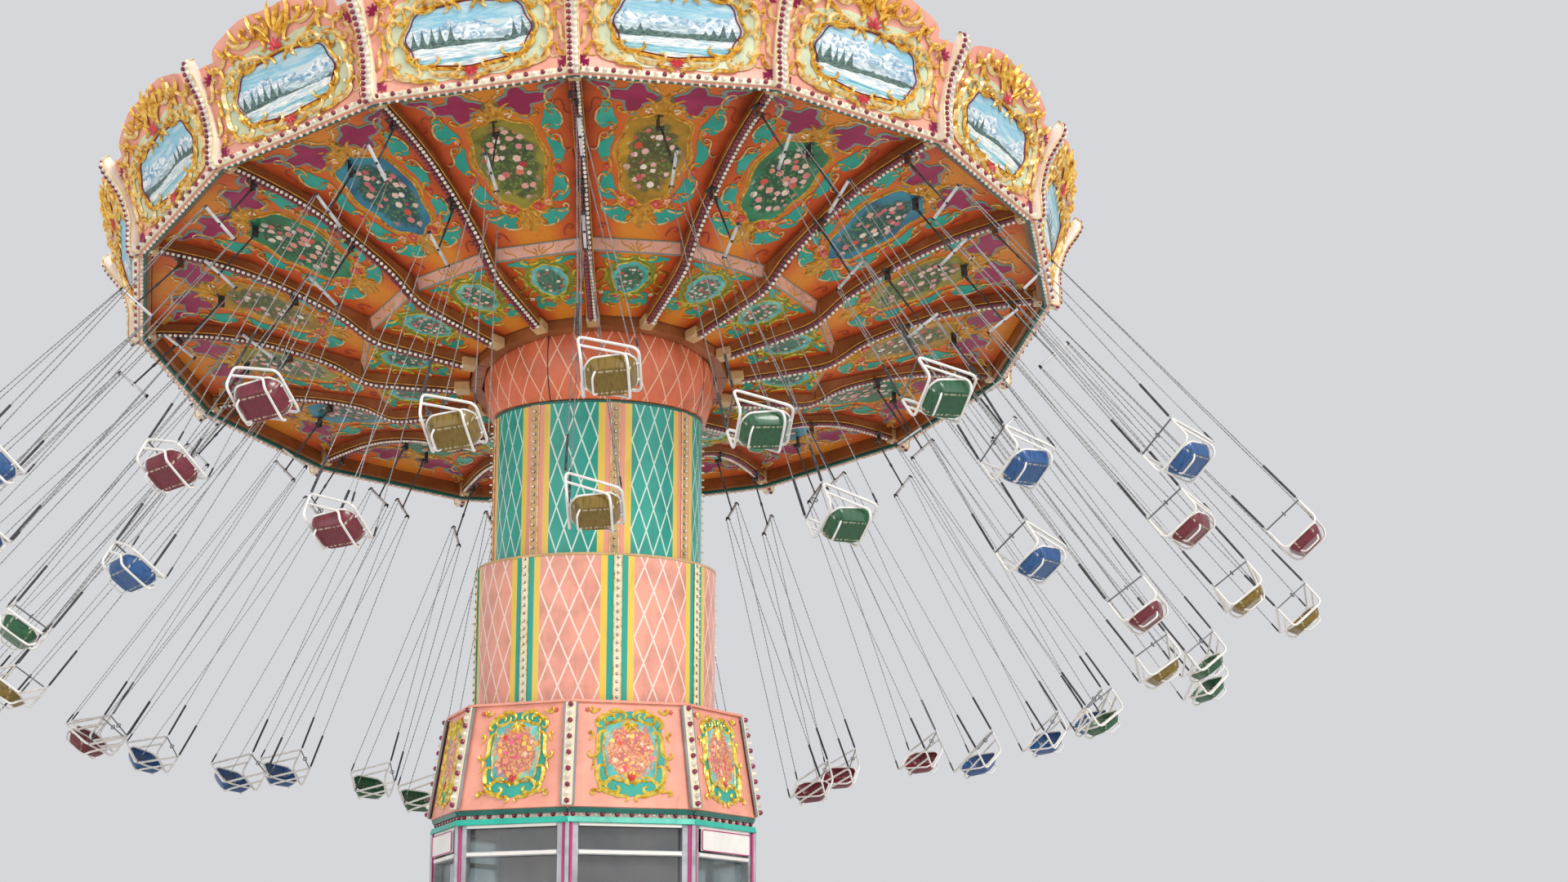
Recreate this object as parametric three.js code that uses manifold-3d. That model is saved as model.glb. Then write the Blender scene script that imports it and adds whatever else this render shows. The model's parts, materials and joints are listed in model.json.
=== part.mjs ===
// Chair swing ride with a tilting sixteen-sided crown, 48 flying chairs and a two-stage lifting tower.
// Units are millimetres, +Z is up, and the origin is on the ground under the middle of the tower.
// The ride stands raised, tilted and in full flight. An azimuth is counted from -Y towards +X.
import * as THREE from "three";
import { mergeVertices } from "three/addons/utils/BufferGeometryUtils.js";
import Module from "manifold-3d";

const wasm = await Module();
wasm.setup();

// Driving dimensions
const SEAT_GAP = 0.3; // between pieces that rest on or against each other
const RUNNING_GAP = 0.5; // between a sliding tube and its guide ring

const CROWN_SIDES = 16;
const CROWN_PHASE_DEG = -2.67;
const CROWN_RADIUS = 5800; // lower corners of the rounding boards
const TILT_DEG = 13.2;
const TILT_HEADING_DEG = 9.33; // the crown leans back, this much from +Y towards -X
const PIVOT_HEIGHT = 9520; // centre of the ball head, about which the crown tilts
const RIM_ABOVE_PIVOT = 850;

const BOOTH_SIDES = 8;
const BOOTH_PHASE_DEG = -8.53;
const BOOTH_RADIUS = 1960;
const BOOTH_WALL = 100;
const PLINTH_RADIUS = 2000;
const PLINTH_HEIGHT = 600;
const POST_WIDTH = 130; // each half of a corner post, seen on one face
const SILL_HEIGHT = 1500;
const LINTEL_HEIGHT = 3520;
const TRANSOM_LOW = 3580;
const TRANSOM_HIGH = 3850;
const BOOTH_TOP = 3893;
const DOOR_FACE = 4; // the face at the back
const GLASS_THICKNESS = 10;

const SKIRT_LOW = 4067;
const SKIRT_HIGH = 5283;
const SKIRT_LOW_RADIUS = 2000;
const SKIRT_HIGH_RADIUS = 1803;

const MAST_SIDES = 24;
const CORE_RADIUS = 1150;
const CORE_TOP = 4900;
const OUTER_MAST_RADIUS = 1475;
const OUTER_MAST_LOW = 4350;
const OUTER_MAST_HIGH = 7105;
const INNER_MAST_RADIUS = 1295;
const INNER_MAST_LOW = 6750;
const INNER_MAST_HIGH = 9008;
const MAST_WALL = 60;
const GUIDE_HEIGHT = 90;

const BALL_RADIUS = 1440;
const BALL_TOP = 400; // above the pivot
const LUG_AT = 690; // from the middle, along the tilt axis
const LUG_THICKNESS = 140;
const PIN_RADIUS = 80;
const PIN_SIDES = 16;
const SPINDLE_RADIUS = 300;
const SPINDLE_SIDES = 24;
const SPINDLE_TOP = 1900; // above the pivot
const THRUST_HEIGHT = 700; // face of the thrust flange, above the pivot
const HUB_RING_INNER = 1478;
const HUB_RING_OUTER = 1620;
const RIB_WIDTH = 90;
const STRUT_WIDTH = 60;
const SOFFIT_THICKNESS = 40;

const CHAIRS_A_RING = 16;
const ROD_LENGTH = 780;
const SPREADER_LENGTH = 520;
const HANG_LENGTH = 5400; // from the hanger to the seat
const LAG_SWAY_DEG = [1.9, -4.9]; // more on the near and the left side of the leaning crown
const SIDE_WIDTH = 18;
const BOWL_WALL = 8;
const LAP_BAR = [226, 364]; // ahead of and above the middle of the seat
const HANGER_PLATE = { thickness: 16, width: 80, low: -38 };
const KNUCKLE_LENGTH = 60;
const KNUCKLE_WIDTH = 40;

// Radius and height of the underside of a rib, and of the painted ceiling on top of it, from the rim plane
const RIB_UNDERSIDE = [
  [1478, -870], [1780, -890], [2530, -795], [2850, -745], [3050, -650], [3300, -480], [3600, -340],
  [4000, -190], [4450, -60], [4900, 20], [5550, 75], [5700, 40],
];
const SOFFIT_UNDERSIDE = [
  [1640, -745], [2950, -590], [3000, -430], [3600, -215], [4450, 85], [5250, 200], [5650, 205],
];
const LAMP_BOARD = [
  [5785, 10], [5900, -20], [5930, 150], [5945, 420], [6060, 760], [6260, 1040], [6300, 1170], [6230, 1240], [6150, 1140],
  [5940, 680], [5800, 280],
];
const RIM_RING = { inner: 5655, outer: 5715, low: 40, high: 380 };

// Each ring of chairs: where it hangs, how far it flies out from plumb and how far it trails behind the crown, in
// degrees. The middle ring hangs between the ribs.
const RINGS = [
  { name: "outer", radius: 5300, height: -45, flight: 41.9, lag: 3.8, offset: 0, carrier: "rib" },
  { name: "middle", radius: 4700, height: 0, flight: 38.6, lag: 3.4, offset: 0.5, carrier: "soffit" },
  { name: "inner", radius: 3900, height: -330, flight: 35.8, lag: 1.3, offset: 0, carrier: "rib" },
];

const COLOURS = {
  pink: 0xeca08c, salmon: 0xd97c5a, teal: 0x1fa191, cream: 0xf3e3cf, gold: 0xd9a83a, terracotta: 0xd06a48,
  orange: 0xc4622f, wood: 0x8a5a34, steel: 0xb9bcc0, black: 0x1d1f22, glass: 0x9fb8c2, maroon: 0x7a1530,
};
const CHAIR_COLOURS = [0x8a6d1c, 0x1e5a35, 0x24508c, 0x6f1f2a];

const radians = THREE.MathUtils.degToRad;
const UP = new THREE.Vector3(0, 0, 1);
const DOWN = new THREE.Vector3(0, 0, -1);
const ALONG = new THREE.Vector3(1, 0, 0);
const ACROSS = new THREE.Vector3(0, 1, 0);

// Turns a closed geometry into a solid that can be joined and cut.
function solidOf(geometry) {
  const bare = geometry.clone();
  bare.deleteAttribute("normal");
  bare.deleteAttribute("uv");
  const merged = mergeVertices(bare, 1e-2);
  const index = merged.index.array;
  const kept = [];
  for (let i = 0; i < index.length; i += 3) {
    const [a, b, c] = [index[i], index[i + 1], index[i + 2]];
    if (a !== b && b !== c && a !== c) kept.push(a, b, c);
  }
  const position = merged.attributes.position.array;
  if (signedVolume(position, kept) < 0) kept.reverse();
  return new wasm.Manifold(
    new wasm.Mesh({ numProp: 3, vertProperties: position, triVerts: new Uint32Array(kept) }),
  );
}

function signedVolume(position, triangles) {
  const [a, b, c] = [new THREE.Vector3(), new THREE.Vector3(), new THREE.Vector3()];
  let total = 0;
  for (let i = 0; i < triangles.length; i += 3) {
    a.fromArray(position, 3 * triangles[i]);
    b.fromArray(position, 3 * triangles[i + 1]);
    c.fromArray(position, 3 * triangles[i + 2]);
    total += a.dot(b.cross(c)) / 6;
  }
  return total;
}

function geometryOf(solid) {
  const mesh = solid.getMesh();
  const geometry = new THREE.BufferGeometry();
  geometry.setAttribute("position", new THREE.BufferAttribute(mesh.vertProperties, 3));
  geometry.setIndex(new THREE.BufferAttribute(mesh.triVerts, 1));
  geometry.computeVertexNormals();
  return geometry;
}

function join(solids) {
  return solids.reduce((sum, next) => sum.add(next));
}

// A solid of revolution about +Z with flat sides; its corners begin at the phase.
function turned(profile, sides, phaseDeg = 0) {
  const points = profile.map(([r, z]) => new THREE.Vector2(r, z));
  const first = points[0];
  if (first.x > 0) points.push(first.clone());
  const lathe = new THREE.LatheGeometry(points, sides, radians(phaseDeg));
  return solidOf(lathe.rotateX(Math.PI / 2));
}

function block(size, place, turn = new THREE.Matrix4()) {
  const geometry = new THREE.BoxGeometry(...size).translate(...place);
  return solidOf(geometry.applyMatrix4(turn));
}

// A square bar from one point to another.
function bar(from, to, width) {
  const [a, b] = [new THREE.Vector3(...from), new THREE.Vector3(...to)];
  const along = b.clone().sub(a);
  const geometry = new THREE.BoxGeometry(width, width, along.length());
  const turn = new THREE.Quaternion().setFromUnitVectors(UP, along.normalize());
  geometry.applyQuaternion(turn);
  const middle = a.add(b).multiplyScalar(0.5);
  return solidOf(geometry.translate(middle.x, middle.y, middle.z));
}

// Unit vectors at an azimuth: away from the middle, and the way the chairs fly.
function outward(azimuth) {
  return new THREE.Vector3(Math.sin(azimuth), -Math.cos(azimuth), 0);
}

function travel(azimuth) {
  return new THREE.Vector3(-Math.cos(azimuth), -Math.sin(azimuth), 0);
}

// The turn that lays X along the flight, Y outwards and Z up at an azimuth.
function facing(azimuth) {
  return new THREE.Matrix4().makeBasis(travel(azimuth), outward(azimuth), UP);
}

// A plate standing in the plane of an azimuth, from its outline in radius and height.
function radialPlate(outline, width, azimuth) {
  const shape = new THREE.Shape(outline.map(([r, z]) => new THREE.Vector2(r, z)));
  const geometry = new THREE.ExtrudeGeometry(shape, { depth: width, bevelEnabled: false, steps: 1 });
  geometry.translate(0, 0, -width / 2);
  geometry.applyMatrix4(new THREE.Matrix4().makeBasis(outward(azimuth), UP, travel(azimuth).negate()));
  return solidOf(geometry);
}

function crownAzimuth(step) {
  return radians(CROWN_PHASE_DEG + (step * 360) / CROWN_SIDES);
}

function fromPivot(points) {
  return points.map(([r, z]) => [r, z + RIM_ABOVE_PIVOT]);
}

// The flat of a polygon lies this much nearer the middle than its corners.
function flatOf(radius, sides) {
  return radius * Math.cos(Math.PI / sides);
}

function boothFaceTurn(face) {
  const azimuth = radians(BOOTH_PHASE_DEG + ((face + 0.5) * 360) / BOOTH_SIDES);
  return facing(azimuth);
}

// Pedestal: the plinth under the booth, with the fixed core that guides the lifting tower
function pedestal() {
  const plinth = turned(
    [[0, 0], [PLINTH_RADIUS, 0], [PLINTH_RADIUS, PLINTH_HEIGHT], [0, PLINTH_HEIGHT]],
    BOOTH_SIDES,
    BOOTH_PHASE_DEG,
  );
  const low = PLINTH_HEIGHT - 50;
  const core = turned([[0, low], [CORE_RADIUS, low], [CORE_RADIUS, CORE_TOP], [0, CORE_TOP]], MAST_SIDES);
  return plinth.add(core);
}

// Booth frame: eight walls with a window and a transom light each, and a doorway at the back
function boothFrame() {
  const [low, high] = [PLINTH_HEIGHT + SEAT_GAP, BOOTH_TOP - SEAT_GAP];
  const inner = BOOTH_RADIUS - BOOTH_WALL;
  let frame = turned(
    [[inner, low], [BOOTH_RADIUS, low], [BOOTH_RADIUS, high], [inner, high]],
    BOOTH_SIDES,
    BOOTH_PHASE_DEG,
  );
  const wide = 2 * BOOTH_RADIUS * Math.sin(Math.PI / BOOTH_SIDES) - 2 * POST_WIDTH;
  const deep = 4 * BOOTH_WALL;
  const wallAt = flatOf(BOOTH_RADIUS - BOOTH_WALL / 2, BOOTH_SIDES);
  for (let face = 0; face < BOOTH_SIDES; face++) {
    const turn = boothFaceTurn(face);
    const sill = face === DOOR_FACE ? PLINTH_HEIGHT - 100 : SILL_HEIGHT;
    const window = LINTEL_HEIGHT - sill;
    frame = frame.subtract(block([wide, deep, window], [0, wallAt, sill + window / 2], turn));
    const transom = TRANSOM_HIGH - TRANSOM_LOW;
    frame = frame.subtract(block([wide, deep, transom], [0, wallAt, TRANSOM_LOW + transom / 2], turn));
  }
  return frame;
}

// Booth glass: one sheet against the inside of the frame, left out at the doorway
function boothGlass() {
  const outer = BOOTH_RADIUS - BOOTH_WALL - 0.4;
  const inner = outer - GLASS_THICKNESS;
  const [low, high] = [SILL_HEIGHT - 40, TRANSOM_HIGH + 30];
  const sheet = turned([[inner, low], [outer, low], [outer, high], [inner, high]], BOOTH_SIDES, BOOTH_PHASE_DEG);
  const wide = 2 * BOOTH_RADIUS * Math.sin(Math.PI / BOOTH_SIDES) - 1.5 * POST_WIDTH;
  const doorway = block([wide, 800, LINTEL_HEIGHT], [0, BOOTH_RADIUS, LINTEL_HEIGHT / 2], boothFaceTurn(DOOR_FACE));
  return sheet.subtract(doorway);
}

// Skirt: eight leaning picture boards on a hollow cornice, with the booth's ceiling
function skirtBoards() {
  return turned(
    [
      [1640, BOOTH_TOP], [1985, BOOTH_TOP], [1905, BOOTH_TOP + 62], [1905, SKIRT_LOW - 57],
      [SKIRT_LOW_RADIUS, SKIRT_LOW], [SKIRT_HIGH_RADIUS, SKIRT_HIGH], [SKIRT_HIGH_RADIUS - 43, SKIRT_HIGH],
      [SKIRT_LOW_RADIUS - 55, SKIRT_LOW + 35], [1840, BOOTH_TOP + 67], [1640, BOOTH_TOP + 67],
    ],
    BOOTH_SIDES,
    BOOTH_PHASE_DEG,
  );
}

// Outer mast: the pink tube, guided on the core at its foot and guiding the inner mast at its top
function outerMast() {
  const inside = OUTER_MAST_RADIUS - MAST_WALL;
  const [foot, head] = [CORE_RADIUS + RUNNING_GAP, INNER_MAST_RADIUS + RUNNING_GAP];
  const [low, high] = [OUTER_MAST_LOW, OUTER_MAST_HIGH];
  return turned(
    [
      [OUTER_MAST_RADIUS, low], [OUTER_MAST_RADIUS, high], [head, high], [head, high - GUIDE_HEIGHT],
      [inside, high - GUIDE_HEIGHT], [inside, low + GUIDE_HEIGHT], [foot, low + GUIDE_HEIGHT], [foot, low],
    ],
    MAST_SIDES,
  );
}

// Inner mast: the teal tube, closed at its top by the plate that carries the head
function innerMast() {
  const [outer, inside] = [INNER_MAST_RADIUS, INNER_MAST_RADIUS - MAST_WALL];
  const [low, high] = [INNER_MAST_LOW, INNER_MAST_HIGH];
  return turned(
    [[0, high - MAST_WALL], [inside, high - MAST_WALL], [inside, low], [outer, low], [outer, high], [0, high]],
    MAST_SIDES,
  );
}

const tiltAxis = new THREE.Vector3(
  -Math.cos(radians(TILT_HEADING_DEG)), -Math.sin(radians(TILT_HEADING_DEG)), 0,
);
const tiltTurn = new THREE.Quaternion().setFromAxisAngle(tiltAxis, radians(TILT_DEG));
const alongTilt = new THREE.Matrix4().makeBasis(tiltAxis, UP.clone().cross(tiltAxis), UP);

// A prism lying along the tilt axis through the pivot, turned on itself by an angle.
function tiltPrism(radius, length, sides, turnDeg) {
  const geometry = new THREE.CylinderGeometry(radius, radius, length, sides);
  geometry.rotateZ(-Math.PI / 2).rotateX(radians(turnDeg));
  return solidOf(geometry.applyMatrix4(alongTilt));
}

// Mast head, drawn about the pivot: a ball-shaped collar round two lugs that hold the tilt pin
function mastHead() {
  const floor = INNER_MAST_HIGH + SEAT_GAP - PIVOT_HEIGHT;
  const ball = [];
  const steps = 5;
  const [lowAngle, highAngle] = [Math.asin(floor / BALL_RADIUS), Math.asin(BALL_TOP / BALL_RADIUS)];
  for (let i = 0; i <= steps; i++) {
    const angle = lowAngle + ((highAngle - lowAngle) * i) / steps;
    ball.push([BALL_RADIUS * Math.cos(angle), BALL_RADIUS * Math.sin(angle)]);
  }
  const inside = 1290;
  const deck = floor + 45;
  const collar = turned(
    [[0, floor], ...ball, [inside, BALL_TOP], [inside, deck], [0, deck]],
    MAST_SIDES,
  );
  const lugTop = 140;
  const lugs = [-1, 1].map((side) =>
    block([LUG_THICKNESS, 300, lugTop - floor - 20], [side * LUG_AT, 0, (lugTop + floor + 20) / 2], alongTilt),
  );
  const boreRadius = (PIN_RADIUS + SEAT_GAP + 0.1) / Math.cos(Math.PI / PIN_SIDES);
  const bore = tiltPrism(boreRadius, 2 * (LUG_AT + LUG_THICKNESS), PIN_SIDES, 180 / PIN_SIDES);
  return join([collar, ...lugs.map((lug) => lug.subtract(bore))]);
}

// Tilt table, drawn about the pivot before it tilts: the pin and the spindle that the crown turns on.
// The corners of the pin face the flats of its bore when the crown is tilted.
function tiltTable() {
  const pin = tiltPrism(PIN_RADIUS, 2 * LUG_AT + LUG_THICKNESS + 40, PIN_SIDES, -TILT_DEG);
  const flange = 380;
  const spindle = turned(
    [
      [0, -170], [SPINDLE_RADIUS, -170], [SPINDLE_RADIUS, THRUST_HEIGHT - 150], [flange, THRUST_HEIGHT - 120],
      [flange, THRUST_HEIGHT], [SPINDLE_RADIUS, THRUST_HEIGHT], [SPINDLE_RADIUS, SPINDLE_TOP], [0, SPINDLE_TOP],
    ],
    SPINDLE_SIDES,
  );
  return pin.add(spindle);
}

// One rib, from the hub ring to the rim, with its top against the painted ceiling
function rib(azimuth) {
  const top = SOFFIT_UNDERSIDE.map(([r, z]) => [r, z - SEAT_GAP]);
  const outline = [...RIB_UNDERSIDE, [5700, top.at(-1)[1]], ...top.reverse(), [HUB_RING_INNER, -745 - SEAT_GAP]];
  return radialPlate(fromPivot(outline), RIB_WIDTH, azimuth);
}

// One strut from the bearing down to the hub ring, clear of the ball head at full tilt
function strut(azimuth) {
  const outline = [[400, 800], [1240, 800], [1485, 418], [1615, 418], [1615, 650], [400, 1650]];
  return radialPlate(outline, STRUT_WIDTH, azimuth);
}

function bearing() {
  const bore = (SPINDLE_RADIUS + SEAT_GAP + 0.1) / Math.cos(Math.PI / SPINDLE_SIDES);
  const [low, high] = [THRUST_HEIGHT + SEAT_GAP, 1750];
  return turned(
    [[bore, low], [420, low], [420, high], [bore, high]],
    SPINDLE_SIDES,
    180 / SPINDLE_SIDES,
  );
}

// Crown frame: bearing, struts, hub ring, sixteen ribs and the rim ring, with the hangers of two rings of chairs
function crownFrame(chairs) {
  const hubRing = turned(
    [[HUB_RING_INNER, -20], [HUB_RING_OUTER, -20], [HUB_RING_OUTER, 420], [HUB_RING_INNER, 420]],
    CROWN_SIDES,
    CROWN_PHASE_DEG,
  );
  const rim = turned(
    fromPivot([
      [RIM_RING.inner, RIM_RING.low], [RIM_RING.outer, RIM_RING.low],
      [RIM_RING.outer, RIM_RING.high], [RIM_RING.inner, RIM_RING.high],
    ]),
    CROWN_SIDES,
    CROWN_PHASE_DEG,
  );
  const pieces = [bearing(), hubRing, rim];
  for (let step = 0; step < CROWN_SIDES; step++) {
    pieces.push(rib(crownAzimuth(step)));
    if (step % 2 === 0) pieces.push(strut(crownAzimuth(step)));
  }
  const hangers = chairs.filter((chair) => chair.ring.carrier === "rib").map((chair) => hanger(chair, 170));
  return join([...pieces, ...hangers]);
}

// Soffit: the painted ceiling with its riser, and the hangers of the middle ring
function soffit(chairs) {
  const top = SOFFIT_UNDERSIDE.map(([r, z]) => [r, z + SOFFIT_THICKNESS]).reverse();
  const shell = turned(fromPivot([...SOFFIT_UNDERSIDE, ...top]), CROWN_SIDES, CROWN_PHASE_DEG);
  const hangers = chairs.filter((chair) => chair.ring.carrier === "soffit").map((chair) => hanger(chair, 150));
  return join([shell, ...hangers]);
}

// Rounding boards: the leaning ring of picture boards, each with a crest, and a curved lamp board at every corner
function roundingBoards() {
  const inner = RIM_RING.outer + 0.6;
  const ring = turned(
    fromPivot([
      [inner, 0], [CROWN_RADIUS, 0], [5820, 280], [5960, 680], [6180, 1150],
      [6125, 1150], [5905, 680], [5765, 280], [inner, 90],
    ]),
    CROWN_SIDES,
    CROWN_PHASE_DEG,
  );
  const crest = new THREE.Shape(
    [[-1000, 0], [1000, 0], [930, 90], [300, 280], [0, 330], [-300, 280], [-930, 90]].map(
      ([x, y]) => new THREE.Vector2(x, y),
    ),
  );
  const lean = radians(26);
  const topFlat = flatOf(6152, CROWN_SIDES);
  const crests = [];
  for (let step = 0; step < CROWN_SIDES; step++) {
    const plate = new THREE.ExtrudeGeometry(crest, { depth: 40, bevelEnabled: false, steps: 1 });
    plate.translate(0, 0, -20).rotateX(Math.PI / 2 - lean);
    plate.translate(0, topFlat, 1125 + RIM_ABOVE_PIVOT);
    crests.push(solidOf(plate.applyMatrix4(facing(crownAzimuth(step + 0.5)))));
  }
  const lampBoards = crests.map((_, step) => radialPlate(fromPivot(LAMP_BOARD), 60, crownAzimuth(step)));
  return join([ring, ...crests, ...lampBoards]);
}

// Roof: a low cover that rests on the rim ring
function roof() {
  const edge = RIM_RING.high + SEAT_GAP;
  return turned(
    fromPivot([
      [0, 2420], [600, 2200], [2600, 1460], [5645, edge + 15], [5645, edge], [5710, edge], [5710, edge + 45],
      [2600, 1510], [700, 2250], [640, 2440], [0, 2480],
    ]),
    CROWN_SIDES,
    CROWN_PHASE_DEG,
  );
}

// Works out where one chair hangs on the crown and how it swings out to its place in flight.
function placeChair(ring, number) {
  const azimuth = crownAzimuth(number + ring.offset);
  const point = outward(azimuth).multiplyScalar(ring.radius);
  point.z = ring.height + RIM_ABOVE_PIVOT;
  const away = outward(azimuth).applyQuaternion(tiltTurn).setZ(0).normalize();
  const ahead = away.clone().cross(UP);
  const flight = radians(ring.flight);
  const sway = LAG_SWAY_DEG[0] * Math.cos(azimuth) + LAG_SWAY_DEG[1] * Math.sin(azimuth);
  const lag = radians(ring.lag + sway);
  const line = away.multiplyScalar(Math.sin(flight)).addScaledVector(UP, -Math.cos(flight));
  line.multiplyScalar(Math.cos(lag)).addScaledVector(ahead, -Math.sin(lag));
  line.applyQuaternion(tiltTurn.clone().invert());
  const axis = DOWN.clone().cross(line).normalize();
  const swing = new THREE.Quaternion().setFromUnitVectors(DOWN, line);
  return { ring, number, azimuth, point, axis, swing };
}

// The plate beside a chair's knuckle, up to what carries it
function hanger(chair, height) {
  const { thickness, width, low } = HANGER_PLATE;
  const beside = KNUCKLE_LENGTH / 2 + SEAT_GAP + thickness / 2;
  const turn = new THREE.Matrix4().makeBasis(chair.axis, UP.clone().cross(chair.axis), UP);
  turn.setPosition(chair.point);
  return block([thickness, width, height - low], [beside, 0, (height + low) / 2], turn);
}

// The hanging part that all chairs share: rod and spreader, two sides, lap bar and seat bowl
function chairBody() {
  const half = SPREADER_LENGTH / 2;
  const [low, high] = [-ROD_LENGTH - 18, -ROD_LENGTH + 18];
  const hanging = [
    [-12, 0], [-12, high], [8 - half, high], [8 - half, low], [half - 8, low], [half - 8, high], [12, high], [12, 0],
  ];
  const lapBar = [LAP_BAR[0], LAP_BAR[1] - HANG_LENGTH];
  return join([
    acrossPlate(hanging, 24),
    chairSide(1),
    chairSide(-1),
    bar([lapBar[0], 8 - half, lapBar[1]], [lapBar[0], half - 8, lapBar[1]], 18),
    seatShell(),
  ]);
}

// A plate that stands across the flight, from its outline in width and height.
function acrossPlate(outline, thickness) {
  const shape = new THREE.Shape(outline.map(([y, z]) => new THREE.Vector2(y, z)));
  const geometry = new THREE.ExtrudeGeometry(shape, { depth: thickness, bevelEnabled: false, steps: 1 });
  geometry.translate(0, 0, -thickness / 2);
  return solidOf(geometry.applyMatrix4(new THREE.Matrix4().makeBasis(ACROSS, UP, ALONG)));
}

// One side of a chair: its two chains, and the hoop of front post, arm rail and bowl edge in one. The arm rail
// runs down from the top of the front post to the back edge of the bowl, where the back chain hangs.
function chairSide(side) {
  const seat = ([x, z]) => new THREE.Vector2(x, z - HANG_LENGTH);
  const [apex, neck] = [-ROD_LENGTH + 26, -ROD_LENGTH - 60];
  const shape = new THREE.Shape([
    new THREE.Vector2(16, apex), seat([242, 378]), seat([230, 62]), seat([132, -54]), seat([-172, -62]),
    seat([-328, 98]), new THREE.Vector2(-16, apex),
  ]);
  shape.holes = [
    new THREE.Path([new THREE.Vector2(0, neck), seat([-304, 124]), seat([222, 394])]),
    new THREE.Path([seat([216, 354]), seat([-288, 92]), seat([-160, -34]), seat([120, -28]), seat([206, 72])]),
  ];
  const geometry = new THREE.ExtrudeGeometry(shape, { depth: SIDE_WIDTH, bevelEnabled: false, steps: 1 });
  geometry.rotateX(Math.PI / 2).translate(0, (side * (SPREADER_LENGTH - SIDE_WIDTH) + SIDE_WIDTH) / 2, 0);
  return solidOf(geometry);
}

// Seat bowl: front lip, seat and low back in one sheet between the sides, and a wall at each side
function seatShell() {
  const under = [[226, 70], [130, -46], [-168, -54], [-320, 96]];
  const above = [[-300, 106], [-158, -28], [120, -22], [210, 80]];
  const width = SPREADER_LENGTH - SIDE_WIDTH;
  return join([
    alongPlate([...under, ...above], width, 0),
    alongPlate(under, BOWL_WALL, width / 2),
    alongPlate(under, BOWL_WALL, -width / 2),
  ]);
}

// A plate that stands along the flight, from its outline in length and height above the seat.
function alongPlate(outline, thickness, middle) {
  const shape = new THREE.Shape(outline.map(([x, z]) => new THREE.Vector2(x, z - HANG_LENGTH)));
  const geometry = new THREE.ExtrudeGeometry(shape, { depth: thickness, bevelEnabled: false, steps: 1 });
  return solidOf(geometry.rotateX(Math.PI / 2).translate(0, middle + thickness / 2, 0));
}

// The knuckle lies along the chair's own hinge axis, so its ends stay beside the hanger plate as it swings.
function knuckle(chair) {
  const axis = chair.axis.clone().applyMatrix4(facing(chair.azimuth).invert());
  const turn = new THREE.Matrix4().makeBasis(axis, UP.clone().cross(axis), UP);
  return block([KNUCKLE_LENGTH, KNUCKLE_WIDTH, KNUCKLE_WIDTH], [0, 0, 0], turn);
}

function named(name, solid, colour, roughness = 0.5, metalness = 0) {
  const material = new THREE.MeshStandardMaterial({ color: colour, roughness, metalness });
  const mesh = new THREE.Mesh(geometryOf(solid), material);
  mesh.name = name;
  return mesh;
}

// Assembly
const ride = new THREE.Group();
ride.add(named("pedestal", pedestal(), COLOURS.maroon, 0.6));
ride.add(named("booth_frame", boothFrame(), COLOURS.steel, 0.4, 0.4));
ride.add(named("booth_glass", boothGlass(), COLOURS.glass, 0.05));
ride.add(named("skirt_boards", skirtBoards(), COLOURS.pink));
ride.add(named("outer_mast", outerMast(), COLOURS.pink));
ride.add(named("inner_mast", innerMast(), COLOURS.teal));

const head = named("mast_head", mastHead(), COLOURS.terracotta);
head.position.z = PIVOT_HEIGHT;
ride.add(head);

const crown = new THREE.Group();
crown.position.z = PIVOT_HEIGHT;
crown.quaternion.copy(tiltTurn);
ride.add(crown);

const chairs = RINGS.flatMap((ring) =>
  Array.from({ length: CHAIRS_A_RING }, (_, number) => placeChair(ring, number)),
);
crown.add(named("tilt_table", tiltTable(), COLOURS.black, 0.4, 0.6));
crown.add(named("crown_frame", crownFrame(chairs), COLOURS.wood, 0.6));
crown.add(named("soffit", soffit(chairs), COLOURS.orange));
crown.add(named("rounding_boards", roundingBoards(), COLOURS.salmon));
crown.add(named("roof", roof(), COLOURS.cream, 0.7));

const body = chairBody();
for (const chair of chairs) {
  const name = `chair_${chair.ring.name}_${String(chair.number + 1).padStart(2, "0")}`;
  const sector = chair.number + (chair.ring.carrier === "soffit" ? 1 : 0);
  const colour = CHAIR_COLOURS[sector % CHAIR_COLOURS.length];
  const mesh = named(name, body.add(knuckle(chair)), colour, 0.5, 0.1);
  const turn = new THREE.Quaternion().setFromRotationMatrix(facing(chair.azimuth));
  mesh.position.copy(chair.point);
  mesh.quaternion.copy(chair.swing).multiply(turn);
  crown.add(mesh);
}

export default ride;
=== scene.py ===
"""Looks of a chair swing ride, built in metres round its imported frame.

The crown's pieces are drawn about the tilt pivot with the crown level, and are then laid into their leaning
place. A panel design is drawn flat, across and along one side of a polygon, and is then laid onto every side.
An azimuth is counted from -Y towards +X.
"""

import json
import logging
import math
from collections.abc import Iterable, Sequence
from dataclasses import dataclass, field
from enum import Enum
from functools import lru_cache
from itertools import pairwise

import bmesh
import bpy
import numpy as np
from mathutils import Matrix, Vector

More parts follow.
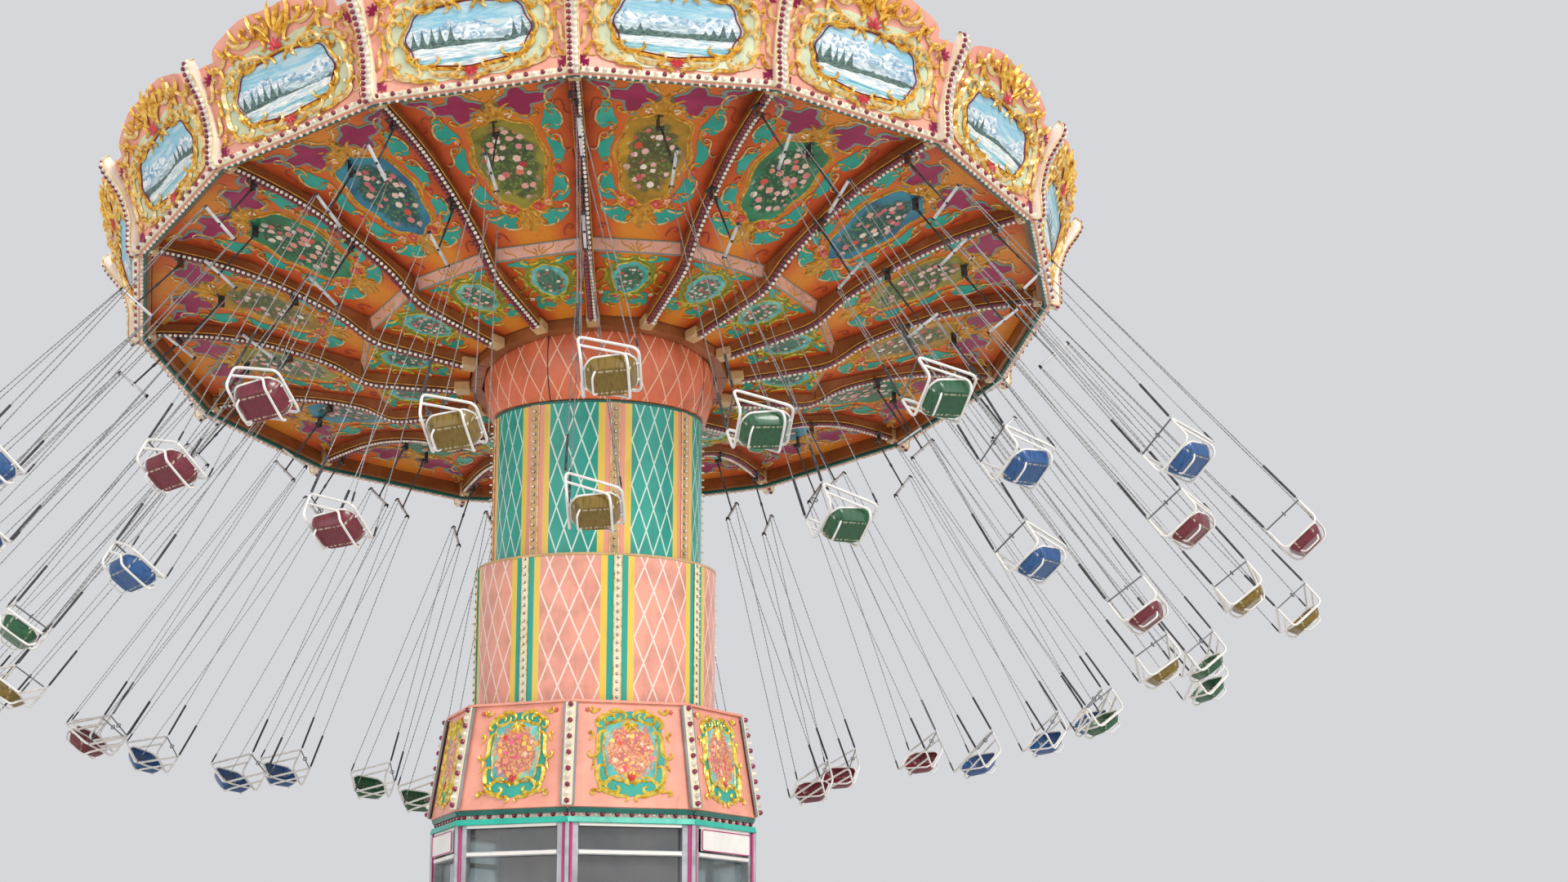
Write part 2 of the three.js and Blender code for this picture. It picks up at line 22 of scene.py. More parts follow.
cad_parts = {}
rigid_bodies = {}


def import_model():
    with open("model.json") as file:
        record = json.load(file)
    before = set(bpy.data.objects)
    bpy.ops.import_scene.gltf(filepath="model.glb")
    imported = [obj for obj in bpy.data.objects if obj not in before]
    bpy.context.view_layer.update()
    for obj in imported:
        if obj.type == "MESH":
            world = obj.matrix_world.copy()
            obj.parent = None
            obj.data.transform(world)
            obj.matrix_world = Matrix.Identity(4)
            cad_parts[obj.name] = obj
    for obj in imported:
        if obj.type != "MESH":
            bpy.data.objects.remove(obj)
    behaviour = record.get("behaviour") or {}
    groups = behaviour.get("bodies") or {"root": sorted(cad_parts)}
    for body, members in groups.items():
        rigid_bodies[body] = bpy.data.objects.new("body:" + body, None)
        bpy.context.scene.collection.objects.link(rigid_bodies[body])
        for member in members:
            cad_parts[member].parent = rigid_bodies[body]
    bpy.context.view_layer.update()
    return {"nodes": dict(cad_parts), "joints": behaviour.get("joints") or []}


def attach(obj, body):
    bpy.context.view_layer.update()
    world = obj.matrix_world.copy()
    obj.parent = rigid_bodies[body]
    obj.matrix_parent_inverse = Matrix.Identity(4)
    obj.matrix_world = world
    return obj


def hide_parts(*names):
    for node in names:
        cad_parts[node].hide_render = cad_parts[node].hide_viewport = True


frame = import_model()
LOG = logging.getLogger("chair_swing_ride")
JOINTS = {joint["name"]: joint for joint in frame["joints"]}

CROWN_SIDES = 16
CROWN_PHASE = math.radians(-2.67)
RIM = 0.85  # the rim plane of the crown, above the pivot
BOOTH_SIDES = 8
BOOTH_PHASE = math.radians(-8.53)
BOOTH_RADIUS = 1.96
PAINT_UV = "paint"
VARIANT_STEP = 10.0  # a picture's UV is shifted by this much for each variant
LINE_CREASE = 70.0  # drawn lines stay sharp where they bend more than this, in degrees
TUBE_CREASE = 75.0  # the same for the chairs' tubes and chains

Colour = tuple[float, float, float, float]
Socket = bpy.types.NodeSocket
Value = Socket | float | tuple[float, ...]
Pair = tuple[float, float]
Shape = bmesh.types.BMesh


def rgb(code: str) -> Colour:
    """Makes a linear colour.

    Args:
        code: a screen colour of six digits.
    Returns:
        The linear colour.
    """
    parts = (int(code[i:i + 2], 16) / 255 for i in (0, 2, 4))
    linear = (c / 12.92 if c <= 0.04045 else ((c + 0.055) / 1.055) ** 2.4 for c in parts)
    return (*linear, 1.0)


def darker(colour: Colour, share: float) -> Colour:
    """A colour with only a share of its light."""
    return (*(share * c for c in colour[:3]), 1.0)


class Graph:
    """The node tree of one material, built by short calls that hand back sockets."""

    def __init__(self, name: str) -> None:
        """Starts an empty tree round one shader.

        Args:
            name: the material's name.
        """
        self.material = bpy.data.materials.new(name)
        self.material.use_nodes = True
        self.nodes = self.material.node_tree.nodes
        self.links = self.material.node_tree.links
        self.shader = self.nodes["Principled BSDF"]

    def feed(self, socket: Socket, value: Value) -> None:
        """Fills a socket.

        Args:
            socket: the socket.
            value: another socket to link it to, or its value.
        """
        if isinstance(value, Socket):
            self.links.new(value, socket)
        else:
            socket.default_value = value

    def put(self, kind: str, out: int | str = 0, settings: dict[str, object] | None = None,
            **inputs: Value) -> Socket:
        """Adds a node.

        Args:
            kind: the node's type, without its common prefix.
            out: which of its outputs is handed back.
            settings: values of the node's own options.
            **inputs: sockets or values, by input name with _ for a space.
        Returns:
            The chosen output.
        """
        node = self.nodes.new("ShaderNode" + kind)
        for name, value in (settings or {}).items():
            setattr(node, name, value)
        for name, value in inputs.items():
            self.feed(node.inputs[name.replace("_", " ")], value)
        return node.outputs[out]

    def math(self, operation: str, *values: Value) -> Socket:
        """One step of arithmetic.

        Args:
            operation: its kind.
            *values: what it works on.
        Returns:
            The result.
        """
        node = self.nodes.new("ShaderNodeMath")
        node.operation = operation
        for socket, value in zip(node.inputs, values):
            self.feed(socket, value)
        return node.outputs[0]

    def scaled(self, value: Value, factor: Value, offset: Value | None = None) -> Socket:
        """A value times a factor, plus an offset where there is one."""
        product = self.math("MULTIPLY", value, factor)
        return product if offset is None else self.math("ADD", product, offset)

    def off_middle(self, value: Value) -> Socket:
        """How far a value is from the middle between two whole numbers."""
        return self.math("ABSOLUTE", self.math("SUBTRACT", self.math("FRACT", value), 0.5))

    def mix(self, share: Value, low: Value, high: Value, kind: str = "MIX") -> Socket:
        """Mixes two colours.

        Args:
            share: how much of the second colour shows.
            low: the first colour.
            high: the second colour.
            kind: the way of mixing.
        Returns:
            The mixed colour.
        """
        node = self.nodes.new("ShaderNodeMix")
        node.data_type = "RGBA"
        node.blend_type = kind
        for place, value in ((0, share), (6, low), (7, high)):
            self.feed(node.inputs[place], value)
        return node.outputs[2]

    def objects(self) -> Socket:
        """Where a point lies in the frame."""
        return self.put("TexCoord", "Object")

    def split(self, where: Socket) -> tuple[Socket, Socket, Socket]:
        """Takes a place apart.

        Args:
            where: the place.
        Returns:
            Its three coordinates.
        """
        node = self.nodes.new("ShaderNodeSeparateXYZ")
        self.feed(node.inputs[0], where)
        return tuple(node.outputs)

    def noise(self, where: Socket, scale: float, detail: float = 3.0, distortion: float = 0.0) -> Socket:
        """A cloudy value from 0 to 1."""
        return self.put("TexNoise", Vector=where, Scale=scale, Detail=detail, Distortion=distortion)

    def streaks(self, where: Socket, stretch: tuple[float, float, float], *form: float) -> Socket:
        """A cloudy value drawn out into streaks."""
        return self.noise(self.put("Mapping", Vector=where, Scale=stretch), *form)

    def ramp(self, share: Value, *stops: tuple[float, Colour]) -> Socket:
        """A colour that changes with a value.

        Args:
            share: the value.
            *stops: values with their colours, in rising order.
        Returns:
            The colour.
        """
        node = self.nodes.new("ShaderNodeValToRGB")
        self.feed(node.inputs[0], share)
        marks = node.color_ramp.elements
        while len(marks) < len(stops):
            marks.new(0.5)
        for mark, (place, colour) in zip(marks, stops):
            mark.position = place
            mark.color = colour
        return node.outputs[0]

    def span(self, value: Value, low: float, high: float, to_low: float = 0.0,
             to_high: float = 1.0) -> Socket:
        """Carries a value smoothly from one range to another, and holds it at the ends.

        Args:
            value: the value.
            low: the range's one end.
            high: its other end.
            to_low: what the first end becomes.
            to_high: what the other end becomes.
        Returns:
            The new value.
        """
        node = self.nodes.new("ShaderNodeMapRange")
        node.interpolation_type = "SMOOTHSTEP"
        for socket, number in zip(node.inputs, (value, low, high, to_low, to_high)):
            self.feed(socket, number)
        return node.outputs[0]

    def panel(self) -> tuple[Socket, Socket, Socket]:
        """Across and along a panel, and the number of the panel's variant."""
        across, along, _ = self.split(self.put("UVMap", settings={"uv_map": PAINT_UV}))
        count = self.math("ROUND", self.math("DIVIDE", across, VARIANT_STEP))
        local = self.math("SUBTRACT", across, self.scaled(count, VARIANT_STEP))
        return local, along, count

    def join(self, x: Value, y: Value, z: Value = 0.0) -> Socket:
        """A place from its three coordinates."""
        return self.put("CombineXYZ", X=x, Y=y, Z=z)

    def close(self, colour: Value, roughness: Value, relief: Socket | None = None, depth: float = 0.001,
              **constants: Value) -> bpy.types.Material:
        """Feeds the shader and hands back the material.

        Args:
            colour: the base colour.
            roughness: the roughness.
            relief: a height for fine bumps.
            depth: how deep the bumps are.
            **constants: other values of the shader, by input name with _ for a space.
        Returns:
            The material.
        """
        self.feed(self.shader.inputs["Base Color"], colour)
        self.feed(self.shader.inputs["Roughness"], roughness)
        if relief is not None:
            bump = self.put("Bump", Height=relief, Strength=0.6, Distance=depth)
            self.feed(self.shader.inputs["Normal"], bump)
        for name, value in constants.items():
            self.feed(self.shader.inputs[name.replace("_", " ")], value)
        return self.material


@dataclass(frozen=True)
class Finish:
    """How a surface looks. Each kind of finish paints its own material."""

    name: str

    def paint(self) -> bpy.types.Material:
        """Makes the material."""
        raise NotImplementedError

    def material(self) -> bpy.types.Material:
        """The finish's material, made when it is first asked for."""
        return bpy.data.materials.get(self.name) or self.paint()


@dataclass(frozen=True)
class Paint(Finish):
    """Gloss paint on sheet, board or tube, unevenly faded and a little soiled."""

    colour: str
    soil: str = "4a3325"
    fade: float = 0.22
    dirt: float = 0.18
    gloss: float = 0.34
    scale: float = 3.0

    def paint(self) -> bpy.types.Material:
        """Mottles the colour, and roughens it where it is soiled."""
        graph = Graph(self.name)
        where = graph.objects()
        base = rgb(self.colour)
        cloud = graph.noise(where, self.scale, 4.0)
        pale = tuple(min(1.0, c * (1 + self.fade) + 0.02) for c in base[:3]) + (1.0,)
        colour = graph.ramp(cloud, (0.3, darker(base, 1 - self.fade)), (0.5, base), (0.72, pale))
        streaks = graph.streaks(where, (7.0, 7.0, 1.6), 2.2, 6.0, 0.6)
        soiled = graph.span(streaks, 0.52, 0.8, 0.0, self.dirt)
        colour = graph.mix(soiled, colour, rgb(self.soil))
        rough = graph.scaled(streaks, 0.22, self.gloss - 0.08)
        orange_peel = graph.noise(where, 90.0, 2.0)
        return graph.close(colour, rough, orange_peel, 0.0015)


@dataclass(frozen=True)
class Gilding(Finish):
    """Carved ornament in gold paint, with painted highlights in cream and painted shade in brown, scattered
    by noise.
    """

    painted_highlight: str = "f3cf62"
    body: str = "d9992a"
    painted_shade: str = "8a4f16"

    def paint(self) -> bpy.types.Material:
        """Varies the gold by noise from painted shade to painted highlight, with a soft metal sheen."""
        graph = Graph(self.name)
        where = graph.objects()
        # the noise scatters painted shade (the brown) and painted highlights (the cream) over the gold,
        # without following the carving's hollows and crests
        tone = graph.noise(where, 16.0, 4.0, 0.4)
        colour = graph.ramp(tone, (0.3, rgb(self.painted_shade)), (0.42, rgb(self.body)), (0.62, rgb(self.painted_highlight)),
                            (0.78, rgb("fff0c4")))
        rough = graph.scaled(tone, 0.25, 0.18)
        return graph.close(colour, rough, graph.noise(where, 60.0, 3.0), 0.004, Metallic=0.25)


@dataclass(frozen=True)
class Lamp(Finish):
    """A cabochon lamp cap of coloured or milky plastic."""

    colour: str
    glow: float = 0.0

    def paint(self) -> bpy.types.Material:
        """Shades the cap from lamp to lamp, under a clear gloss."""
        graph = Graph(self.name)
        base = rgb(self.colour)
        tone = graph.noise(graph.objects(), 11.0, 1.0)
        colour = graph.ramp(tone, (0.35, darker(base, 0.55)), (0.6, base))
        rough = graph.scaled(tone, 0.15, 0.08)
        return graph.close(colour, rough, Coat_Weight=0.6, Coat_Roughness=0.08, Emission_Color=base,
                           Emission_Strength=self.glow)


@dataclass(frozen=True)
class Metal(Finish):
    """Bare or silver-painted metal with fine scratches."""

    colour: str = "b4b8bd"
    roughness: float = 0.35
    metallic: float = 0.85

    def paint(self) -> bpy.types.Material:
        """Brushes the metal lightly and dulls it in patches."""
        graph = Graph(self.name)
        where = graph.objects()
        base = rgb(self.colour)
        patches = graph.noise(where, 5.0, 5.0)
        colour = graph.ramp(patches, (0.32, darker(base, 0.62)), (0.6, base))
        scratches = graph.streaks(where, (60.0, 60.0, 6.0), 4.0, 3.0)
        rough = graph.scaled(patches, 0.3, self.roughness - 0.12)
        return graph.close(colour, rough, scratches, 0.0006, Metallic=self.metallic)


@dataclass(frozen=True)
class Rubber(Finish):
    """Black rubber hose or dark chain paint, greyed by dust."""

    colour: str = "1c1d20"

    def paint(self) -> bpy.types.Material:
        """Dusts the black with grey."""
        graph = Graph(self.name)
        where = graph.objects()
        dust = graph.noise(where, 14.0, 5.0)
        colour = graph.ramp(dust, (0.35, rgb(self.colour)), (0.8, rgb("55565a")))
        rough = graph.span(dust, 0.3, 0.8, 0.42, 0.7)
        return graph.close(colour, rough, graph.noise(where, 160.0, 2.0), 0.0008)


@dataclass(frozen=True)
class Glass(Finish):
    """Window glass, dusty towards its edges."""

    def paint(self) -> bpy.types.Material:
        """Clear glass with a thin veil of dust."""
        graph = Graph(self.name)
        where = graph.objects()
        dust = graph.noise(where, 2.5, 5.0)
        colour = graph.ramp(dust, (0.3, rgb("a8b8bd")), (0.8, rgb("dfe6e6")))
        rough = graph.span(dust, 0.45, 0.85, 0.03, 0.3)
        return graph.close(colour, rough, Transmission_Weight=0.9, IOR=1.45)


@dataclass(frozen=True)
class Lattice(Finish):
    """Paint with a lattice of thin lines round a tube, with striped bands beside its lamp strips.

    Attributes:
        ground: the colour of the paint.
        line: the colour of the lattice.
        radius: the radius of the tube.
        diamond: the width and the height of a diamond.
        strips: the number of lamp strips.
        first_strip: the azimuth of the first one.
        line_width: the width of a lattice line.
        bands: how far each band reaches from the middle of a strip, with its colour.
        seam: half of the width of a dark seam in place of a strip.
    """

    ground: str
    line: str
    radius: float
    diamond: Pair
    strips: int
    first_strip: float
    line_width: float = 0.009
    bands: tuple[tuple[float, str], ...] = ()
    seam: float = 0.0

    def paint(self) -> bpy.types.Material:
        """Paints lattice, bands and seams by how far a point is from the nearest strip."""
        graph = Graph(self.name)
        where = graph.objects()
        x, y, z = graph.split(where)
        azimuth = graph.math("ARCTAN2", x, graph.scaled(y, -1.0))
        step = 2 * math.pi / self.strips
        turns = graph.math("ADD", graph.math("DIVIDE", azimuth, step), 0.5 - self.first_strip / step)
        away = graph.scaled(graph.off_middle(turns), step * self.radius)
        middle = graph.math("DIVIDE", graph.math("SUBTRACT", step * self.radius / 2, away), self.diamond[0])
        rise = graph.math("DIVIDE", z, self.diamond[1])
        width, lines = self.line_width / self.diamond[0], None
        for way in ("ADD", "SUBTRACT"):
            gap = graph.off_middle(graph.math(way, middle, rise))
            share = graph.span(gap, 0.5 - width, 0.5 - 0.6 * self.line_width / self.diamond[0])
            lines = share if lines is None else graph.math("MAXIMUM", lines, share)
        cloud = graph.noise(where, 2.6, 5.0)
        ground = rgb(self.ground)
        colour = graph.ramp(cloud, (0.3, darker(ground, 0.72)), (0.58, ground))
        colour = graph.mix(graph.scaled(lines, 0.9), colour, rgb(self.line))
        for reach, band in reversed(self.bands):
            colour = graph.mix(graph.span(away, reach + 0.002, reach - 0.002), colour, rgb(band))
        if self.seam:
            colour = graph.mix(graph.span(away, self.seam, 0.5 * self.seam), colour, rgb("3a2118"))
        streaks = graph.streaks(where, (5.0, 5.0, 0.7), 2.0, 6.0, 0.4)
        colour = graph.mix(graph.span(streaks, 0.52, 0.8, 0.0, 0.2), colour, rgb("5b3b2c"))
        rough = graph.scaled(streaks, 0.25, 0.2)
        return graph.close(colour, rough, graph.noise(where, 70.0, 2.0), 0.0015)


@dataclass(frozen=True)
class CeilingPaint(Finish):
    """Orange ceiling paint, darkened beside the ribs as painted shade and golden in the middle of a bay."""

    def paint(self) -> bpy.types.Material:
        """Blends by how near a point is to the edge of its bay."""
        graph = Graph(self.name)
        where = graph.objects()
        across, along, _ = graph.panel()
        half = graph.scaled(along, math.tan(math.pi / CROWN_SIDES))
        edge = graph.math("DIVIDE", graph.math("ABSOLUTE", across), half)
        wash = graph.noise(where, 1.7, 5.0, 0.3)
        # painted shade: the orange darkens towards the ribs, down to a deep brown where a bay meets a rib
        shade = graph.math("ADD", edge, graph.scaled(graph.math("SUBTRACT", wash, 0.5), 0.5))
        colour = graph.ramp(shade, (0.2, rgb("e28c30")), (0.5, rgb("da6c30")), (0.8, rgb("cd5a2d")),
                            (1.0, rgb("86351b")))
        specks = graph.noise(where, 22.0, 4.0)
        colour = graph.mix(graph.span(specks, 0.55, 0.75, 0.0, 0.25), colour, rgb("7a3520"))
        rough = graph.scaled(wash, 0.2, 0.28)
        return graph.close(colour, rough, graph.noise(where, 80.0, 2.0), 0.0012, Specular_IOR_Level=0.25)


@dataclass(frozen=True)
class Layer:
    """One layer of a painted view, below an uneven edge.

    Attributes:
        level: the height of its edge, where the view goes from -1 to 1.
        swing: how much the edge rises and falls.
        rate: how often it does so.
        low: its darker colour.
        high: its lighter colour.
        grain: the form of its brushwork, across, along and from view to view.
        trees: the height of the trees on its edge.
    """

    level: float
    swing: float
    rate: float
    low: str
    high: str
    grain: tuple[float, float, float] = (1.5, 5.0, 1.0)
    trees: float = 0.0


@dataclass(frozen=True)
class Landscape(Finish):
    """A painted winter view of peaks, woods, snow and water. Each panel has a view of its own."""

    centre: float
    half: Pair
    layers: tuple[Layer, ...] = (
        Layer(0.3, 0.75, 1.5, "6f9fbd", "eef4f6", (2.6, 1.8, 1.0)),
        Layer(-0.02, 0.3, 1.2, "7fa0ae", "d5e2e6", (2.0, 3.0, 1.0)),
        Layer(-0.22, 0.2, 0.9, "243f40", "587a72", (5.0, 5.0, 1.0), 0.5),
        Layer(-0.34, 0.22, 1.1, "a9c6d2", "f7f5f0"),
        Layer(-0.6, 0.2, 0.7, "4f9db4", "a8d6dd", (1.0, 8.0, 1.0)),
        Layer(-0.84, 0.3, 1.4, "9db4bf", "f1efe9"),
    )

    @staticmethod
    def trees(graph: Graph, across: Socket, seed: Socket, height: float) -> Socket:
        """Spiked treetops in groups.

        Args:
            graph: the tree of the view's material.
            across: the place across the view.
            seed: the number that makes views differ.
            height: the height of the tallest tree.
        Returns:
            A height to add to a layer's edge.
        """
        sway = graph.noise(graph.join(graph.scaled(across, 5.0), 9.1, seed), 1.0, 2.0)
        wave = graph.math("FRACT", graph.scaled(across, 7.0, sway))
        fold = graph.math("SUBTRACT", graph.scaled(wave, 2.0), 1.0)
        spike = graph.math("SUBTRACT", 1.0, graph.math("ABSOLUTE", fold))
        groups = graph.noise(graph.join(graph.scaled(across, 1.3), 5.3, seed), 1.0, 2.0)
        size = graph.scaled(graph.span(groups, 0.47, 0.62), height)
        return graph.scaled(graph.math("POWER", spike, 1.6), size)

    def paint(self) -> bpy.types.Material:
        """Stacks sky, far peaks, woods, snow and water, each below a waving edge."""
        graph = Graph(self.name)
        across, along, count = graph.panel()
        u = graph.math("DIVIDE", across, self.half[0])
        v = graph.math("DIVIDE", graph.math("SUBTRACT", along, self.centre), self.half[1])
        seed = graph.scaled(count, 7.31)
        place = graph.join(u, v, seed)
        clouds = graph.streaks(place, (1.2, 3.4, 1.0), 1.6, 6.0, 0.5)
        tone = graph.math("ADD", graph.scaled(v, 0.3), graph.scaled(clouds, 0.9))
        colour = graph.ramp(tone, (0.25, rgb("e9c9bc")), (0.42, rgb("c9dfe4")), (0.6, rgb("7dbdd6")),
                            (0.85, rgb("d3e4e8")))
        for number, layer in enumerate(self.layers):
            line = graph.noise(graph.join(graph.scaled(u, layer.rate), 3.7 * number, seed), 1.0, 6.0)
            edge = graph.scaled(graph.math("SUBTRACT", line, 0.5), layer.swing * 2.6, layer.level)
            if layer.trees:
                edge = graph.math("ADD", edge, self.trees(graph, u, seed, layer.trees))
            grain = graph.streaks(place, layer.grain, 2.5, 7.0, 1.4)
            tone = graph.ramp(grain, (0.38, rgb(layer.low)), (0.6, rgb(layer.high)))
            below = graph.span(graph.math("SUBTRACT", edge, v), -0.012, 0.015)
            colour = graph.mix(below, colour, tone)
        strokes = graph.streaks(place, (14.0, 22.0, 1.0), 2.0, 3.0)
        colour = graph.mix(graph.span(strokes, 0.5, 0.8, 0.0, 0.3), colour, rgb("f4f1ea"))
        return graph.close(colour, 0.4, strokes, 0.001)


class Ground(Enum):
    """The grounds on which flowers are painted, each from its dark to its light colour."""

    MEADOW = (("7d6312", "cf9a1f"), ("1f5c36", "2d946a"), ("1d4f78", "2f90a6"), ("58621c", "a89a34"))
    TURQUOISE = (("1f8f8c", "5fd0c6"), ("2a9fa0", "84ddd0"), ("3f9f8f", "8fd8c8"), ("2f9a9d", "7fd6d2"))


@dataclass(frozen=True)
class Blossoms(Finish):
    """A painted bunch of flowers with leaves, on a shaded ground that changes from panel to panel."""

    centre: float
    half: Pair
    ground: Ground
    flower: float = 0.11
    bloom: tuple[str, ...] = ("b3202c", "e58a93", "f6efe2", "d9482f", "f2c9c0")
    leaf: tuple[str, str, str] = ("7f9a3c", "2c5a33", "1c3d2a")

    def paint(self) -> bpy.types.Material:
        """Sets round flowers with petals on leaves, thickest in the middle of the panel."""
        graph = Graph(self.name)
        across, along, count = graph.panel()
        v = graph.math("SUBTRACT", along, self.centre)
        seed = graph.scaled(count, 3.17)
        place = graph.join(across, v, seed)
        wash = graph.noise(place, 1.6 / self.half[1], 4.0, 0.5)
        kind = graph.math("MODULO", graph.math("ADD", count, 40.0), float(len(self.ground.value)))
        colour = None
        for number, (low, high) in enumerate(self.ground.value):
            tone = graph.ramp(wash, (0.3, rgb(low)), (0.65, rgb(high)))
            if colour is None:
                colour = tone
                continue
            chosen = graph.math("COMPARE", kind, float(number), 0.5)
            colour = graph.mix(chosen, colour, tone)
        squares = (self.squared(graph, value, half) for value, half in zip((across, v), self.half))
        reach = graph.math("SQRT", graph.math("ADD", *squares))
        ragged = graph.math("ADD", reach, graph.scaled(graph.noise(place, 5 / self.half[1], 3.0), 0.6))
        bunch = graph.span(ragged, 1.2, 0.98)
        leaves = graph.put("TexVoronoi", "Distance", Vector=place, Scale=2.6 / self.flower)
        green = graph.ramp(leaves, *zip((0.1, 0.4, 0.7), map(rgb, self.leaf)))
        colour = graph.mix(graph.scaled(bunch, 0.8), colour, green)
        node = graph.nodes.new("ShaderNodeTexVoronoi")
        graph.feed(node.inputs["Vector"], place)
        node.inputs["Scale"].default_value = 1 / self.flower
        node.inputs["Randomness"].default_value = 0.75
        gap, shade = node.outputs["Distance"], node.outputs["Color"]
        petal_noise = graph.noise(place, 3.2 / self.flower, 2.0, 1.0)
        rim = graph.math("ADD", gap, graph.scaled(petal_noise, 0.3))
        red, _, _ = graph.split(shade)
        stops = tuple((i / len(self.bloom), rgb(code)) for i, code in enumerate(self.bloom))
        petals = graph.ramp(red, *stops)
        inner = graph.ramp(rim, (0.16, rgb("e9b93a")), (0.24, rgb("fff6e0")), (0.5, rgb("ffffff")))
        petals = graph.mix(0.85, petals, inner, "MULTIPLY")
        seen = graph.scaled(graph.span(rim, 0.56, 0.5), bunch)
        colour = graph.mix(seen, colour, petals)
        return graph.close(colour, 0.38, petal_noise, 0.001)

    @staticmethod
    def squared(graph: Graph, value: Socket, half: float) -> Socket:
        """The square of a value's share of a half size."""
        return graph.math("POWER", graph.math("DIVIDE", graph.math("ABSOLUTE", value), half), 2.0)


@dataclass(frozen=True)
class SeatShell(Finish):
    """Moulded seat in coloured paint with worn pale stripes along it."""

    colour: str

    def paint(self) -> bpy.types.Material:
        """Lays worn stripes over the colour by the seat's own width."""
        graph = Graph(self.name)
        across, along, _ = graph.panel()
        place = graph.join(across, along, 0.0)
        base = rgb(self.colour)
        wear = graph.streaks(place, (2.0, 9.0, 1.0), 6.0, 5.0, 0.5)
        colour = graph.ramp(wear, (0.32, darker(base, 0.55)), (0.55, base))
        wave = graph.math("PINGPONG", graph.math("ADD", graph.math("ABSOLUTE", across), 0.05), 0.085)
        stripe = graph.scaled(graph.span(wave, 0.012, 0.006), graph.span(wear, 0.42, 0.6))
        colour = graph.mix(graph.scaled(stripe, 0.7), colour, rgb("d8cfb4"))
        rough = graph.scaled(wear, 0.3, 0.2)
        return graph.close(colour, rough, wear, 0.001, Coat_Weight=0.25)


PINK = Paint("salmon_pink_paint", "f0a28c", fade=0.12, dirt=0.14)
BOARD_PINK = Paint("picture_board_pink", "eda590", fade=0.12, dirt=0.16)
CREAM = Paint("cream_paint", "f6e9d8", fade=0.08, dirt=0.16)
WHITE_TUBE = Paint("white_tube_paint", "eceae6", fade=0.06, dirt=0.2, scale=9.0)
TEAL = Paint("teal_paint", "1fa493", fade=0.15)
DEEP_TEAL = Paint("deep_teal_paint", "13695f", fade=0.15)
TURQUOISE = Paint("turquoise_band_paint", "22b8a2", fade=0.12)
GREY_TEAL = Paint("grey_teal_paint", "7d8f86", fade=0.12)
BLUSH = Paint("blush_band_paint", "e3a994", fade=0.15, dirt=0.3)
OCHRE = Paint("ochre_scroll_paint", "cc922a", fade=0.3, dirt=0.2, scale=12.0)
OLIVE = Paint("olive_halo_paint", "84902c", fade=0.3, scale=14.0)
RUST = Paint("rust_flourish_paint", "a3361f", fade=0.2, scale=12.0)
MAGENTA = Paint("magenta_panel_paint", "9c1450", fade=0.2)
MAGENTA_EDGE = Paint("magenta_edge_paint", "c42a78", fade=0.12)
RED_PETAL = Paint("red_petal_paint", "d2404a", fade=0.35, scale=20.0)
MINT = Paint("mint_ground_paint", "cdd6b4", fade=0.15)
MAROON = Paint("maroon_core_paint", "7c1736", fade=0.15)
RIB_DARK = Paint("rib_lamp_board_paint", "5c2a22", fade=0.3, dirt=0.3)
FRAME_BROWN = Paint("frame_brown_paint", "95582e", fade=0.25, dirt=0.4)
TAN_STRIP = Paint("tan_strip_paint", "c9a878", fade=0.15)
STRIP_CREAM = Paint("lamp_strip_cream", "efe3c6", fade=0.1)
SIGN_WHITE = Paint("white_sign_paint", "f1eee8", fade=0.05, dirt=0.1)
ROOF_SHEET = Paint("roof_sheet_paint", "d9d2c2", fade=0.12, dirt=0.3, gloss=0.45)
PLATE_GREY = Paint("plinth_grey_paint", "8d9094", fade=0.15, dirt=0.35)
GOLD = Gilding("board_gilding")
PALE_GOLD = Gilding("pale_gilding", painted_highlight="fdeebb", body="e9c172", painted_shade="b98043")
SCROLL_YELLOW = Gilding("yellow_scroll_gilding", painted_highlight="f6e36a", body="dcb52c", painted_shade="97772a")
CEILING_GOLD = Gilding("ceiling_gilding", painted_highlight="e3ab3a", body="c4821e", painted_shade="7c4a14")
CEILING_YELLOW = Gilding("ceiling_yellow_gilding", painted_highlight="d9c840", body="b3931f", painted_shade="74621a")
CEILING_PALE = Gilding("ceiling_pale_gilding", painted_highlight="efcf95", body="cf9f58", painted_shade="946634")
LAMP_MAROON = Lamp("maroon_lamp_cap", "8e1240", 0.03)
LAMP_CLEAR = Lamp("milky_lamp_cap", "f4ead9", 0.12)
LAMP_DARK = Lamp("dark_lamp_cap", "3a1a1c")
PALE_STEEL = Metal("pale_steel", "dfe1e2", 0.4, 0.3)
SILVER = Metal("silver_post_metal", "b9bcc2", 0.4, 0.55)
CHAIN = Metal("galvanised_chain", "a7a9ab", 0.4, 0.7)
STEEL = Metal("greased_steel", "7f8387", 0.35)
BLACK = Rubber("black_rod_paint")
SLEEVE = Rubber("black_sleeve_rubber", "141518")
WINDOW = Glass("booth_window_glass")


class Curl(Enum):
    """The forms of an ornament's line, by how it turns and swells along its length."""

    C_SCROLL = "c_scroll"
    S_SCROLL = "s_scroll"
    HOOK = "hook"
    LEAF = "leaf"

    def turning(self, t: float) -> float:
        """How the line turns.

        Args:
            t: the share of its length.
        Returns:
            The turning there, in degrees for the whole length.
        """
        s = 2 * t - 1
        match self:
            case Curl.C_SCROLL:
                return 70 + 1000 * s * s
            case Curl.S_SCROLL:
                return math.copysign(1050 * abs(s) ** 1.4, s)
            case Curl.HOOK:
                return 20 + 880 * t * t
        return 70.0

    def swell(self, t: float) -> float:
        """How thick the line is.

        Args:
            t: the share of its length.
        Returns:
            Its thickness there, from 0 to 1.
        """
        if self is Curl.HOOK:
            return 0.2 + 0.8 * math.sin(math.pi * (0.15 + 0.75 * t))
        if self is Curl.LEAF:
            return max(0.06, math.sin(math.pi * t) ** 0.8)
        return 0.32 + 0.68 * math.sin(math.pi * t)


C_SCROLL, S_SCROLL, HOOK, LEAF = Curl


